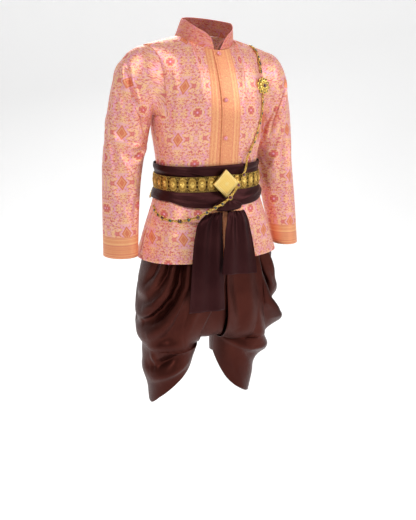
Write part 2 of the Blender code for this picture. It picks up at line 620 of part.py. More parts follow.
def make_belt(collection, gold):
    """The belt's band round the sash, and the diamond buckle in front of it."""
    turns = np.arange(36) / 36
    levels = BELT_Z + BELT_HEIGHT / 2 * np.array([[1], [0], [-1]])
    grid = ring(JACKET, turns, levels, BELT_OFF)
    wall(collection, "belt", grid[::-1], gold, METAL, closed=True)

    bpy.ops.mesh.primitive_cone_add(
        vertices=4, radius1=BUCKLE_HALF, radius2=BUCKLE_HALF * 0.80, depth=0.0075, end_fill_type="NGON"
    )
    buckle = bpy.context.object
    buckle.name = buckle.data.name = "buckle"
    buckle.rotation_euler.x = np.pi / 2
    buckle.location = (0, -0.1352, BELT_Z)
    move_to(collection, buckle, gold)


def smooth_route(points):
    """A smooth curve through the route's points, twice as many as they are."""
    key = namedtuple("Key", "way x y z")
    steps = np.linalg.norm(np.diff(points, axis=0), axis=1)
    rows = [key(w, *p) for w, p in zip(np.concatenate([[0], np.cumsum(steps)]), points)]
    way = np.linspace(0, rows[-1].way, 2 * len(rows))
    return np.stack([column(rows, "way", axis, way) for axis in "xyz"], axis=-1)


def make_chain(collection, gold):
    """The chain's stretches as plain tubes, and the brooch where it crosses the chest."""
    routes = {}
    for name, places in (("chain_shoulder", CHAIN_SHOULDER), ("chain_chest", CHAIN_CHEST)):
        routes[name] = [on_jacket(place) for place in places]
    routes["chain_back"] = [on_jacket(place, back=True) for place in CHAIN_BACK]
    routes["chain_hip"] = [ring(JACKET, p.turn, p.z, CLOTH + p.off) for p in CHAIN_HIP]
    for name, points in routes.items():
        curve = bpy.data.curves.new(name, "CURVE")
        curve.dimensions = "3D"
        curve.bevel_depth = CHAIN_R
        curve.bevel_resolution = 1
        curve.use_fill_caps = True
        spline = curve.splines.new("POLY")
        route = smooth_route(np.array(points))
        spline.points.add(len(route) - 1)
        for knot, place in zip(spline.points, route):
            knot.co = (*place, 1)
        add(collection, name, curve, gold)

    x, z = BROOCH
    bpy.ops.mesh.primitive_cone_add(vertices=16, radius1=BROOCH_R, radius2=BROOCH_R * 0.62, depth=0.006)
    brooch = bpy.context.object
    brooch.name = brooch.data.name = "brooch"
    brooch.rotation_euler = (np.radians(82), 0, np.radians(14))
    brooch.location = (x, jacket_y(x, z) - 0.0190, z)
    move_to(collection, brooch, gold)


def main():
    collection = clear_scene()
    brocade = finish("brocade", (0.81, 0.37, 0.29), 0.55)
    satin = finish("brown_satin", (0.060, 0.016, 0.012), 0.38)
    sash = finish("sash_satin", (0.035, 0.010, 0.010), 0.40)
    gold = finish("gold", (0.80, 0.58, 0.20), 0.30, 1.0)
    make_jacket(collection, brocade)
    make_sleeves(collection, brocade)
    make_collar(collection, brocade)
    make_buttons(collection, brocade)
    make_trousers(collection, satin)
    make_sash(collection, sash)
    make_belt(collection, gold)
    make_chain(collection, gold)


main()
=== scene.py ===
"""Looks of a Thai formal set as it is worn: figured silk jacket with its stand collar and covered
buttons, draped satin trousers, waist sash with its knot and ends, filigree belt with a diamond
buckle, and a jewelled body chain with its brooch.

The frame supplies the fixed solids. Every surface here is worked out again on a fine grid in the same
place: metres, +Z up, the wearer faces -Y and the wearer's left is +X.
"""

from collections import namedtuple

import bmesh
import bpy
import numpy as np
from bpy.props import FloatProperty, FloatVectorProperty, IntProperty, PointerProperty
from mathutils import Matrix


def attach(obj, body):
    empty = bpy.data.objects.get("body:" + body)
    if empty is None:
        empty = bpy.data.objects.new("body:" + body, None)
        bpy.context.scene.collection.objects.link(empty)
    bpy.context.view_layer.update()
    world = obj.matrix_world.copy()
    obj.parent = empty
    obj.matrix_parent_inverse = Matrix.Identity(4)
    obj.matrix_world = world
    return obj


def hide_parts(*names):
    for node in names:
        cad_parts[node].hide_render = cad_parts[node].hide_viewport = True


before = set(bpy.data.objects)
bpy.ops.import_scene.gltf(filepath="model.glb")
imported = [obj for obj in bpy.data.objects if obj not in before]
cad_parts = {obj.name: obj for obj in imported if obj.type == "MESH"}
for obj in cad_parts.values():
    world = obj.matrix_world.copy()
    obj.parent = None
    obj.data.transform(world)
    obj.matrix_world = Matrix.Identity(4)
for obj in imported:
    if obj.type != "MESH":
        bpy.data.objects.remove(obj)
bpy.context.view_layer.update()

bl_info = {
    "name": "Thai formal set",
    "version": (1, 0, 0),
    "blender": (4, 5, 0),
    "location": "View3D > Sidebar > Thai set",
    "description": "Makes the cloth, metal and stones of a Thai formal set round its fixed frame",
    "category": "Add Mesh",
}

# ---- Sizes ---------------------------------------------------------------------------------------
CLOTH, SATIN = 0.0013, 0.0011  # walls of the brocade and of the satin
LAP = 0.0026  # how far the left front stands over the right one
HEM_Z, ARMPIT_Z = -0.680, -0.225
ARMHOLE_X = 0.172
SHOULDER = (0.212, 0.005, -0.026)
TILT = 0.011  # the right shoulder and arm are this much higher
NECK_HALF, NECK_DEPTH, NECK_Y = 0.092, 0.087, 0.017
NECK_FRONT_Z, NECK_SIDE_Z, NECK_BACK_Z = -0.031, 0.006, 0.016
NECK_SHARE = NECK_HALF / SHOULDER[0]
COLLAR_FRONT, COLLAR_BACK = 0.040, 0.047
COLLAR_LEAN = (0.012, 0.008, -0.021)
WRAP_X, UNDERLAP_X = 0.012, 0.020  # how far each front passes the centre
WAIST_Z, WAISTBAND = -0.460, 0.036
CROTCH_Z = -0.975
BELT_Z, BELT_OFF = -0.435, 0.0104
BUCKLE_HALF, BUCKLE_Y = 0.045, -0.1314
UPPER_Z, MIDDLE_Z, LOWER_Z, KNOT_Z = -0.379, -0.437, -0.489, -0.508
GIRTH = 1.04  # the length that one turn of the body stands for, where folds are placed

Ring = namedtuple("Ring", "z half front back centre")
JACKET = [
    Ring(-0.680, 0.240, 0.155, 0.150, 0.0),
    Ring(-0.640, 0.227, 0.148, 0.145, 0.0),
    Ring(-0.580, 0.208, 0.140, 0.138, 0.0),
    Ring(-0.500, 0.181, 0.124, 0.120, 0.0),
    Ring(-0.460, 0.168, 0.114, 0.110, 0.0),
    Ring(-0.430, 0.165, 0.112, 0.108, 0.0),
    Ring(-0.360, 0.170, 0.113, 0.110, 0.0),
    Ring(-0.300, 0.178, 0.120, 0.118, 0.0),
    Ring(-0.225, 0.188, 0.127, 0.122, 0.0),
]
RING_POWER = 2.4
HIPS = [
    Ring(-1.010, 0.230, 0.125, 0.135, 0.005),
    Ring(-0.900, 0.240, 0.138, 0.146, 0.005),
    Ring(-0.800, 0.234, 0.144, 0.150, 0.004),
    Ring(-0.720, 0.225, 0.143, 0.146, 0.002),
    Ring(-0.660, 0.212, 0.137, 0.137, 0.000),
    Ring(-0.600, 0.197, 0.130, 0.130, 0.000),
    Ring(-0.520, 0.175, 0.115, 0.112, 0.000),
    Ring(-0.460, 0.158, 0.102, 0.098, 0.000),
]
Leg = namedtuple("Leg", "z x y half depth")
LEGS = {
    "right": [
        Leg(-1.210, -0.148, 0.010, 0.058, 0.074),
        Leg(-1.130, -0.148, 0.010, 0.068, 0.086),
        Leg(-1.050, -0.147, 0.008, 0.076, 0.100),
        Leg(-0.975, -0.139, 0.006, 0.092, 0.114),
        Leg(-0.640, -0.112, 0.004, 0.108, 0.120),
    ],
    "left": [
        Leg(-1.210, 0.112, 0.030, 0.060, 0.072),
        Leg(-1.130, 0.116, 0.028, 0.074, 0.084),
        Leg(-1.050, 0.126, 0.024, 0.090, 0.098),
        Leg(-0.975, 0.138, 0.016, 0.104, 0.112),
        Leg(-0.640, 0.118, 0.008, 0.108, 0.120),
    ],
}
Hem = namedtuple("Hem", "turn z")
HEMS = {
    "right": [Hem(0.0, -1.010), Hem(0.12, -1.048), Hem(0.25, -1.100), Hem(0.38, -1.156),
              Hem(0.5, -1.196), Hem(0.65, -1.165), Hem(0.85, -1.060), Hem(1.0, -1.020)],
    "left": [Hem(0.0, -1.055), Hem(0.12, -1.142), Hem(0.25, -1.190), Hem(0.38, -1.212),
             Hem(0.5, -1.212), Hem(0.65, -1.170), Hem(0.85, -1.080), Hem(1.0, -1.055)],
}
GAPS = {"right": (0.080, 0.032), "left": (0.014, 0.032)}
# Swags that hang in a U round the outside of a leg: the U's lowest point, its half span as a share of
# the way round, its rise to the ends, how far it stands out, and its reach above and below.
Swag = namedtuple("Swag", "low span rise out above below")
SWAGS = {
    "right": [
        Swag(-0.790, 0.27, 0.13, 0.006, 0.036, 0.020),
        Swag(-0.870, 0.30, 0.21, 0.009, 0.042, 0.020),
        Swag(-0.950, 0.34, 0.29, 0.010, 0.050, 0.024),
        Swag(-1.070, 0.36, 0.24, 0.009, 0.044, 0.044),
    ],
    "left": [
        Swag(-0.780, 0.26, 0.12, 0.009, 0.036, 0.020),
        Swag(-0.850, 0.29, 0.18, 0.014, 0.040, 0.020),
        Swag(-0.955, 0.32, 0.26, 0.036, 0.052, 0.028),
        Swag(-1.062, 0.34, 0.22, 0.022, 0.036, 0.030),
    ],
}

Cuff = namedtuple("Cuff", "name outer_x outer_z inner_x inner_z depth y turn")
SLEEVE = [
    Cuff("armhole", 0.2140, -0.0280, 0.1900, -0.2280, 0.060, 0.002, 0),
    Cuff("cap", 0.2390, -0.0360, 0.1930, -0.2350, 0.062, 0.006, 0),
    Cuff("crown", 0.2640, -0.0540, 0.1940, -0.2450, 0.064, 0.011, 0),
    Cuff("shoulder", 0.2885, -0.0900, 0.1945, -0.2600, 0.065, 0.017, 0),
    Cuff("upper_arm", 0.3070, -0.1500, 0.1950, -0.2840, 0.064, 0.026, 0),
    Cuff("above_elbow", 0.3220, -0.2350, 0.1975, -0.3180, 0.063, 0.034, 3),
    Cuff("elbow", 0.3345, -0.3300, 0.2080, -0.3700, 0.062, 0.039, 6),
    Cuff("forearm", 0.3425, -0.4250, 0.2240, -0.4400, 0.061, 0.035, 12),
    Cuff("lower_arm", 0.3490, -0.5450, 0.2420, -0.5500, 0.060, 0.020, 22),
    Cuff("cuff", 0.3515, -0.6740, 0.2615, -0.6700, 0.060, 0.001, 30),
]
UNDERARM = 6 / 16  # the share of the way round an armhole at which the underarm begins

Wrap = namedtuple("Wrap", "share off")
UPPER_WRAP = [
    Wrap(0.0, 0.0080), Wrap(0.15, 0.0105), Wrap(0.38, 0.0085),
    Wrap(0.62, 0.0062), Wrap(1.0, 0.0058),
]
LOWER_WRAP = [
    Wrap(0.0, 0.0058), Wrap(0.35, 0.0066), Wrap(0.58, 0.0105),
    Wrap(0.80, 0.0112), Wrap(1.0, 0.0080),
]
Tail = namedtuple("Tail", "z inner outer y pleat")
TAILS = {
    "long": [
        Tail(-0.522, -0.014, -0.072, -0.1445, 0.0025),
        Tail(-0.545, -0.018, -0.098, -0.1485, 0.0040),
        Tail(-0.590, -0.020, -0.116, -0.1540, 0.0036),
        Tail(-0.650, -0.022, -0.128, -0.1610, 0.0030),
        Tail(-0.740, -0.022, -0.138, -0.1665, 0.0024),
        Tail(-0.836, -0.020, -0.146, -0.1670, 0.0020),
    ],
    "short": [
        Tail(-0.522, 0.002, 0.060, -0.1470, 0.0025),
        Tail(-0.545, -0.004, 0.070, -0.1560, 0.0045),
        Tail(-0.580, -0.014, 0.076, -0.1640, 0.0045),
        Tail(-0.630, -0.022, 0.083, -0.1720, 0.0036),
        Tail(-0.675, -0.029, 0.088, -0.1760, 0.0028),
        Tail(-0.722, -0.034, 0.093, -0.1775, 0.0024),
    ],
}

# Soft folds, each a bent line of points. On the jacket a point is (s, z): s is the way round the body
# from the centre front, in metres, the wearer's left positive. On a sleeve it is the share of the way
# round, 0 outside and 0.25 in front, and the share of the table's rows. Height is how far the fold
# stands out, or in if negative.
Fold = namedtuple("Fold", "line width height")
JACKET_FOLDS = [
    # right front: hollow beside the armhole, drags from the shoulder, soft pull above the sash
    Fold([(-0.165, -0.080), (-0.185, -0.173), (-0.167, -0.260)], 0.017, -0.0085),
    Fold([(-0.120, -0.060), (-0.140, -0.172), (-0.130, -0.327)], 0.026, 0.0065),
    Fold([(-0.078, -0.130), (-0.098, -0.340)], 0.022, -0.0026),
    Fold([(-0.215, -0.250), (-0.150, -0.350)], 0.014, 0.0036),
    Fold([(-0.235, -0.300), (-0.180, -0.365)], 0.012, -0.0030),
    Fold([(-0.110, -0.330), (-0.060, -0.372)], 0.010, 0.0022),
    # left front
    Fold([(0.150, -0.080), (0.186, -0.160), (0.172, -0.255)], 0.017, -0.0080),
    Fold([(0.100, -0.080), (0.118, -0.290)], 0.024, 0.0034),
    Fold([(0.070, -0.190), (0.085, -0.350)], 0.018, -0.0022),
    Fold([(0.220, -0.255), (0.165, -0.345)], 0.014, 0.0036),
    Fold([(0.150, -0.310), (0.110, -0.370)], 0.011, -0.0024),
    # back
    Fold([(0.430, -0.090), (0.400, -0.330)], 0.024, 0.0036),
    Fold([(0.480, -0.120), (0.470, -0.360)], 0.022, -0.0030),
    Fold([(0.370, -0.080), (0.345, -0.260)], 0.017, -0.0044),
    Fold([(0.330, -0.270), (0.400, -0.355)], 0.014, 0.0034),
    Fold([(-0.430, -0.100), (-0.405, -0.320)], 0.024, 0.0034),
    Fold([(-0.490, -0.200), (-0.500, -0.370)], 0.020, 0.0028),
    Fold([(-0.365, -0.080), (-0.340, -0.250)], 0.017, -0.0044),
    Fold([(-0.325, -0.280), (-0.385, -0.350)], 0.014, 0.0030),
    # skirt: soft flutes that fall from the sash, and slant creases under it
    Fold([(-0.235, -0.520), (-0.262, -0.690)], 0.022, 0.0052),
    Fold([(-0.180, -0.505), (-0.205, -0.690)], 0.020, -0.0042),
    Fold([(-0.120, -0.515), (-0.138, -0.690)], 0.024, 0.0044),
    Fold([(-0.245, -0.520), (-0.140, -0.556)], 0.008, 0.0022),
    Fold([(-0.215, -0.560), (-0.110, -0.585)], 0.010, -0.0018),
    Fold([(0.120, -0.510), (0.150, -0.690)], 0.022, 0.0050),
    Fold([(0.185, -0.505), (0.210, -0.690)], 0.018, -0.0046),
    Fold([(0.240, -0.510), (0.262, -0.690)], 0.022, 0.0050),
    Fold([(0.130, -0.520), (0.200, -0.545)], 0.008, 0.0020),
    Fold([(0.320, -0.505), (0.345, -0.690)], 0.022, -0.0044),
    Fold([(0.400, -0.505), (0.415, -0.690)], 0.024, 0.0052),
    Fold([(0.490, -0.510), (0.495, -0.690)], 0.026, -0.0040),
    Fold([(-0.420, -0.505), (-0.430, -0.690)], 0.024, 0.0050),
    Fold([(-0.330, -0.505), (-0.350, -0.690)], 0.020, -0.0046),
]
SLEEVE_FOLDS = {
    "right": [
        # drags from the shoulder tip down the front, towards the underarm
        Fold([(0.030, 0.290), (0.150, 0.420), (0.240, 0.450)], 0.022, 0.0085),
        Fold([(0.085, 0.298), (0.200, 0.395), (0.290, 0.400)], 0.020, -0.0100),
        Fold([(0.170, 0.330), (0.300, 0.425), (0.370, 0.500)], 0.018, 0.0090),
        Fold([(0.180, 0.435), (0.285, 0.470), (0.350, 0.550)], 0.022, -0.0085),
        Fold([(0.380, 0.380), (0.400, 0.450), (0.420, 0.540)], 0.020, -0.0060),
        Fold([(0.030, 0.400), (0.045, 0.480), (0.070, 0.570)], 0.026, 0.0055),
        Fold([(0.100, 0.470), (0.170, 0.560), (0.200, 0.600)], 0.030, 0.0050),
        # the long outer fold to the crook, and the cross fold above the elbow
        Fold([(0.055, 0.595), (0.125, 0.645), (0.160, 0.700), (0.215, 0.750), (0.300, 0.820)], 0.020, 0.0080),
        Fold([(0.010, 0.610), (0.085, 0.670), (0.120, 0.730), (0.180, 0.800)], 0.022, -0.0065),
        Fold([(0.125, 0.625), (0.220, 0.640), (0.310, 0.615)], 0.022, 0.0085),
        Fold([(0.150, 0.672), (0.230, 0.690), (0.320, 0.665)], 0.026, -0.0080),
        Fold([(0.410, 0.600), (0.340, 0.660), (0.300, 0.710)], 0.020, 0.0065),
        Fold([(0.420, 0.670), (0.370, 0.740), (0.350, 0.830)], 0.024, -0.0050),
        Fold([(0.060, 0.800), (0.140, 0.860), (0.200, 0.930)], 0.028, 0.0045),
        Fold([(0.330, 0.800), (0.260, 0.880), (0.250, 0.940)], 0.026, -0.0040),
        # behind
        Fold([(0.960, 0.300), (0.840, 0.420), (0.740, 0.470)], 0.024, 0.0080),
        Fold([(0.910, 0.300), (0.790, 0.400), (0.680, 0.440)], 0.022, -0.0085),
        Fold([(0.820, 0.340), (0.700, 0.440), (0.630, 0.530)], 0.022, 0.0070),
        Fold([(0.940, 0.560), (0.830, 0.620), (0.700, 0.640)], 0.024, 0.0065),
        Fold([(0.950, 0.640), (0.840, 0.690), (0.710, 0.700)], 0.026, -0.0060),
        Fold([(0.900, 0.740), (0.800, 0.800), (0.680, 0.880)], 0.028, 0.0045),
    ],
    "left": [
        Fold([(0.110, 0.350), (0.225, 0.440), (0.290, 0.560)], 0.022, 0.0085),
        Fold([(0.150, 0.350), (0.268, 0.420), (0.330, 0.530)], 0.020, -0.0100),
        Fold([(0.280, 0.350), (0.340, 0.440), (0.370, 0.580)], 0.020, 0.0080),
        Fold([(0.360, 0.400), (0.390, 0.500), (0.370, 0.620)], 0.020, -0.0075),
        Fold([(0.180, 0.470), (0.250, 0.610), (0.320, 0.740)], 0.022, 0.0075),
        Fold([(0.130, 0.520), (0.200, 0.640), (0.270, 0.780)], 0.024, -0.0070),
        Fold([(0.400, 0.580), (0.330, 0.660), (0.250, 0.700)], 0.022, 0.0070),
        Fold([(0.420, 0.640), (0.360, 0.720), (0.280, 0.760)], 0.024, -0.0060),
        Fold([(0.080, 0.600), (0.150, 0.720), (0.220, 0.860)], 0.026, 0.0060),
        Fold([(0.020, 0.420), (0.040, 0.560), (0.030, 0.700)], 0.030, 0.0045),
        Fold([(0.400, 0.780), (0.330, 0.860), (0.300, 0.930)], 0.024, 0.0045),
        Fold([(0.960, 0.310), (0.850, 0.420), (0.750, 0.480)], 0.024, 0.0080),
        Fold([(0.910, 0.310), (0.800, 0.400), (0.690, 0.450)], 0.022, -0.0085),
        Fold([(0.830, 0.350), (0.710, 0.450), (0.640, 0.540)], 0.022, 0.0070),
        Fold([(0.930, 0.570), (0.820, 0.630), (0.690, 0.645)], 0.024, 0.0065),
        Fold([(0.940, 0.650), (0.830, 0.700), (0.700, 0.705)], 0.026, -0.0060),
        Fold([(0.890, 0.750), (0.790, 0.810), (0.670, 0.890)], 0.028, 0.0045),
    ],
}


# ---- Reading the tables --------------------------------------------------------------------------
def column(rows, key, name, at):
    """A table's named column at given keys: a cubic Hermite curve through its rows."""
    table = sorted((getattr(r, key), getattr(r, name)) for r in rows)
    x, y = (np.array(v, float) for v in zip(*table))
    at = np.clip(np.asarray(at, float), x[0], x[-1])
    step, rise = np.diff(x), np.diff(y)
    slope = np.gradient(y, x)
    i = np.clip(np.searchsorted(x, at, side="right") - 1, 0, len(x) - 2)
    t = (at - x[i]) / step[i]
    bend = slope[i] * t * (1 - t) ** 2 - slope[i + 1] * t * t * (1 - t)
    return y[i] + rise[i] * t * t * (3 - 2 * t) + step[i] * bend


def power(value, exponent):
    """A power that keeps the value's sign, for squared-off ellipses."""
    return np.sign(value) * np.abs(value) ** exponent


def step_between(value, low, high):
    """0 below low, 1 above high, and 3t^2 - 2t^3 between."""
    t = np.clip((value - low) / (high - low), 0, 1)
    return t * t * (3 - 2 * t)


def ring(rows, turn, z, off=0.0):
    """A body ring, |x/a|^2.4 + |y/b|^2.4 = 1: turn is 0 in front, 0.25 at the wearer's left."""
    angle = 2 * np.pi * np.asarray(turn, float)
    side, fore = power(np.sin(angle), 2 / RING_POWER), power(np.cos(angle), 2 / RING_POWER)
    front = column(rows, "z", "front", z) + off
    back = column(rows, "z", "back", z) + off
    x = (column(rows, "z", "half", z) + off) * side
    y = column(rows, "z", "centre", z) - np.where(fore > 0, front, back) * fore
    return np.stack(np.broadcast_arrays(x, y, z), axis=-1)


def folds_at(folds, a, b, stretch=1.0, period=None):
    """Sum over the folds of height * exp(-(gap / width)^2), fading at both ends of the line.

    gap is the distance to the fold's bent line; stretch weighs the second coordinate against the
    first, and a repeats after period, as it does round a sleeve.
    """
    total = np.zeros(np.broadcast(a, b).shape)
    for fold in folds:
        line = np.array(fold.line) * (1, stretch)
        if period:
            steps = (np.diff(line[:, 0]) + period / 2) % period - period / 2
            line[1:, 0] = line[0, 0] + np.cumsum(steps)
            near_a = (a - line[:, 0].mean() + period / 2) % period - period / 2 + line[:, 0].mean()
        else:
            near_a = a
        way = lengths(line[None], 1)[0]
        gap, along = np.full(total.shape, np.inf), np.zeros(total.shape)
        for start, end, before in zip(line[:-1], line[1:], way):
            run, fall = end - start
            share = ((near_a - start[0]) * run + (b * stretch - start[1]) * fall) / (run * run + fall * fall)
            share = np.clip(share, 0, 1)
            away = np.hypot(near_a - start[0] - run * share, b * stretch - start[1] - fall * share)
            along = np.where(away < gap, before + share * np.hypot(run, fall), along)
            gap = np.minimum(gap, away)
        fade = np.sin(np.pi * (0.08 + 0.84 * along / way[-1]))
        total += fold.height * np.exp(-((gap / fold.width) ** 2)) * fade
    return total


def normals_of(grid, closed=False):
    """Unit normals of a grid [row, column]: the cross product of its two central differences."""
    wide = np.concatenate([grid[:, -1:], grid, grid[:, :1]], axis=1) if closed else grid
    across = np.gradient(wide, axis=1)
    across = across[:, 1:-1] if closed else across
    normal = np.cross(across, np.gradient(grid, axis=0))
    return normal / np.maximum(np.linalg.norm(normal, axis=-1, keepdims=True), 1e-9)


def lengths(grid, axis):
    """How far each point of a grid is along the cloth from the grid's first edge on that axis."""
    steps = np.linalg.norm(np.diff(grid, axis=axis), axis=-1)
    start = np.zeros_like(np.take(steps, [0], axis=axis))
    return np.concatenate([start, np.cumsum(steps, axis=axis)], axis=axis)


# ---- Making objects ------------------------------------------------------------------------------
def mesh_object(name, points, faces, finish, maps=None, weld=False):
    """An object at the origin with its mesh; maps holds a UV pair for each corner of each face."""
    mesh = bpy.data.meshes.new(name)
    mesh.from_pydata(points.tolist(), [], faces.tolist())
    for title, pairs in (maps or {}).items():
        layer = mesh.uv_layers.new(name=title)
        layer.data.foreach_set("uv", np.ascontiguousarray(pairs, np.float32).ravel())
    if weld:
        work = bmesh.new()
        work.from_mesh(mesh)
        bmesh.ops.remove_doubles(work, verts=work.verts, dist=1e-6)
        bmesh.ops.dissolve_degenerate(work, edges=work.edges, dist=1e-7)
        work.to_mesh(mesh)
        work.free()
    mesh.shade_smooth()
    mesh.materials.append(finish)
    obj = bpy.data.objects.new(name, mesh)
    bpy.context.scene.collection.objects.link(obj)
    return obj


def place(obj, slot, *nodes):
    """The piece rides on the one body and stands for its solids; slot is not used."""
    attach(obj, "root")
    if nodes:
        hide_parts(*nodes)
    return obj


def thicken(obj, thick, offset=1):
    """Gives an open surface its wall, outwards unless offset says otherwise."""
    wall = obj.modifiers.new("wall", "SOLIDIFY")
    wall.thickness = thick
    wall.offset = offset
    return obj


def cloth(name, grid, finish, thick, closed=False, keep=None, flip=False, uv=None, trim=None):
    """A cloth wall on a grid of points [row, column].

    The UV map cloth holds metres along the rows and up the columns, and trim holds how far a point
    is from the nearest woven border's edge. closed joins the last column to the first.
    """
    rows, columns = grid.shape[:2]
    flat = np.concatenate([grid, grid[:, :1]], axis=1) if closed else grid
    if uv is None:
        uv = np.stack([lengths(flat, 1), lengths(flat, 0)], axis=-1)
    if trim is None:
        trim = np.ones(flat.shape[:2])
    r, c = np.meshgrid(np.arange(rows - 1), np.arange(flat.shape[1] - 1), indexing="ij")
    here, right = r * columns + c, r * columns + (c + 1) % columns
    faces = np.stack([here, right, right + columns, here + columns], axis=-1)
    wide = flat.shape[1]
    corner = r * wide + c
    corners = np.stack([corner, corner + 1, corner + 1 + wide, corner + wide], axis=-1)
    if keep is not None:
        faces, corners = faces[keep], corners[keep]
    faces, corners = faces.reshape(-1, 4), corners.reshape(-1, 4)
    if flip:
        faces, corners = faces[:, ::-1], corners[:, ::-1]
    used, faces = np.unique(faces, return_inverse=True)
    maps = {
        "cloth": uv.reshape(-1, 2)[corners.ravel()],
        "trim": np.stack([trim, trim * 0], axis=-1).reshape(-1, 2)[corners.ravel()],
    }
    obj = mesh_object(name, grid.reshape(-1, 3)[used], faces.reshape(-1, 4), finish, maps)
    return thicken(obj, thick)


def lathe(profile, sides):
    """Points and faces of a profile of (radius, height) turned about Z; its ends lie on the axis."""
    inner = np.array(profile[1:-1], float)
    angle = 2 * np.pi * np.arange(sides) / sides
    x, y = inner[:, :1] * np.cos(angle), inner[:, :1] * np.sin(angle)
    body = np.stack([x, y, np.broadcast_to(inner[:, 1:], x.shape)], axis=-1).reshape(-1, 3)
    points = np.concatenate([[[0, 0, profile[0][1]]], body, [[0, 0, profile[-1][1]]]])
    row, col = np.meshgrid(np.arange(len(inner) - 1), np.arange(sides), indexing="ij")
    here, right = 1 + row * sides + col, 1 + row * sides + (col + 1) % sides
    quads = np.stack([here, right, right + sides, here + sides], axis=-1).reshape(-1, 4)
    col = np.arange(sides)
    low = np.stack([np.zeros(sides, int), 1 + (col + 1) % sides, 1 + col, 1 + col], axis=-1)
    top, last = 1 + (len(inner) - 1) * sides, len(points) - 1
    high = np.stack([top + col, top + (col + 1) % sides, np.full(sides, last), np.full(sides, last)], axis=-1)
    return points, [quads, low[:, :3], high[:, :3]]


def loop_link(long, wide, wire, steps=12, sides=5):
    """Points and faces of a wire ring: an oval in the XY plane with a round section."""
    once, round_wire = 2 * np.pi * np.arange(steps) / steps, 2 * np.pi * np.arange(sides) / sides
    t, s = np.meshgrid(once, round_wire, indexing="ij")
    way = np.stack([np.cos(t) * wide, np.sin(t) * long], axis=-1)
    way /= np.linalg.norm(way, axis=-1, keepdims=True)
    x = long * np.cos(t) + wire * np.cos(s) * way[..., 0]
    y = wide * np.sin(t) + wire * np.cos(s) * way[..., 1]
    points = np.stack([x, y, wire * np.sin(s)], axis=-1).reshape(-1, 3)
    here = np.arange(steps)[:, None] * sides + np.arange(sides)
    right = np.arange(steps)[:, None] * sides + (np.arange(sides) + 1) % sides
    ahead, both = (here + sides) % (steps * sides), (right + sides) % (steps * sides)
    quads = np.stack([here, ahead, both, right], axis=-1).reshape(-1, 4)
    return points, [quads]


def stamped(name, template, frames, finish):
    """One joined mesh of a template's copies. A frame is (origin, 3 axes as columns)."""
    points, groups = template
    origins = np.array([f[0] for f in frames])
    axes = np.array([f[1] for f in frames])
    copies = np.einsum("fij,pj->fpi", axes, points) + origins[:, None]
    shift = (np.arange(len(frames)) * len(points))[:, None, None]
    faces = [face for group in groups for face in (group[None] + shift).reshape(-1, group.shape[1]).tolist()]
    mesh = bpy.data.meshes.new(name)
    mesh.from_pydata(copies.reshape(-1, 3).tolist(), [], faces)
    mesh.shade_smooth()
    mesh.materials.append(finish)
    obj = bpy.data.objects.new(name, mesh)
    bpy.context.scene.collection.objects.link(obj)
    return obj


def axes_of(normal, along):
    """Three unit columns: x along a line, z out of the surface, y square to both."""
    z = np.array(normal, float) / np.linalg.norm(normal)
    x = np.array(along, float) - z * np.dot(along, z)
    x /= np.linalg.norm(x)
    return np.stack([x, np.cross(z, x), z], axis=-1)


# ---- Finishes ------------------------------------------------------------------------------------
def both_ways(operation):
    """A Math operation for a signal on the left of the operator and for one on its right."""

    def forward(self, other):
        return self.finish.node("ShaderNodeMath", {"operation": operation}, (self, other))

    def reflected(self, other):
        return self.finish.node("ShaderNodeMath", {"operation": operation}, (other, self))

    return forward, reflected


class Signal:
    """A socket's value. Python's operators on it add Math nodes."""

    def __init__(self, finish, socket):
        self.finish, self.socket = finish, socket

    __add__, __radd__ = both_ways("ADD")
    __sub__, __rsub__ = both_ways("SUBTRACT")
    __mul__, __rmul__ = both_ways("MULTIPLY")
    __truediv__, __rtruediv__ = both_ways("DIVIDE")
    __pow__, __rpow__ = both_ways("POWER")

    def of(self, operation, *others):
        """Any other Math operation, such as SINE, with this value first."""
        return self.finish.node("ShaderNodeMath", {"operation": operation}, (self, *others))

    def step(self, low, high):
        """0 below low and 1 above high, smooth between; low above high turns it round."""
        names = {"Value": self, "From Min": low, "From Max": high}
        return self.finish.node("ShaderNodeMapRange", {"interpolation_type": "SMOOTHSTEP"}, names)


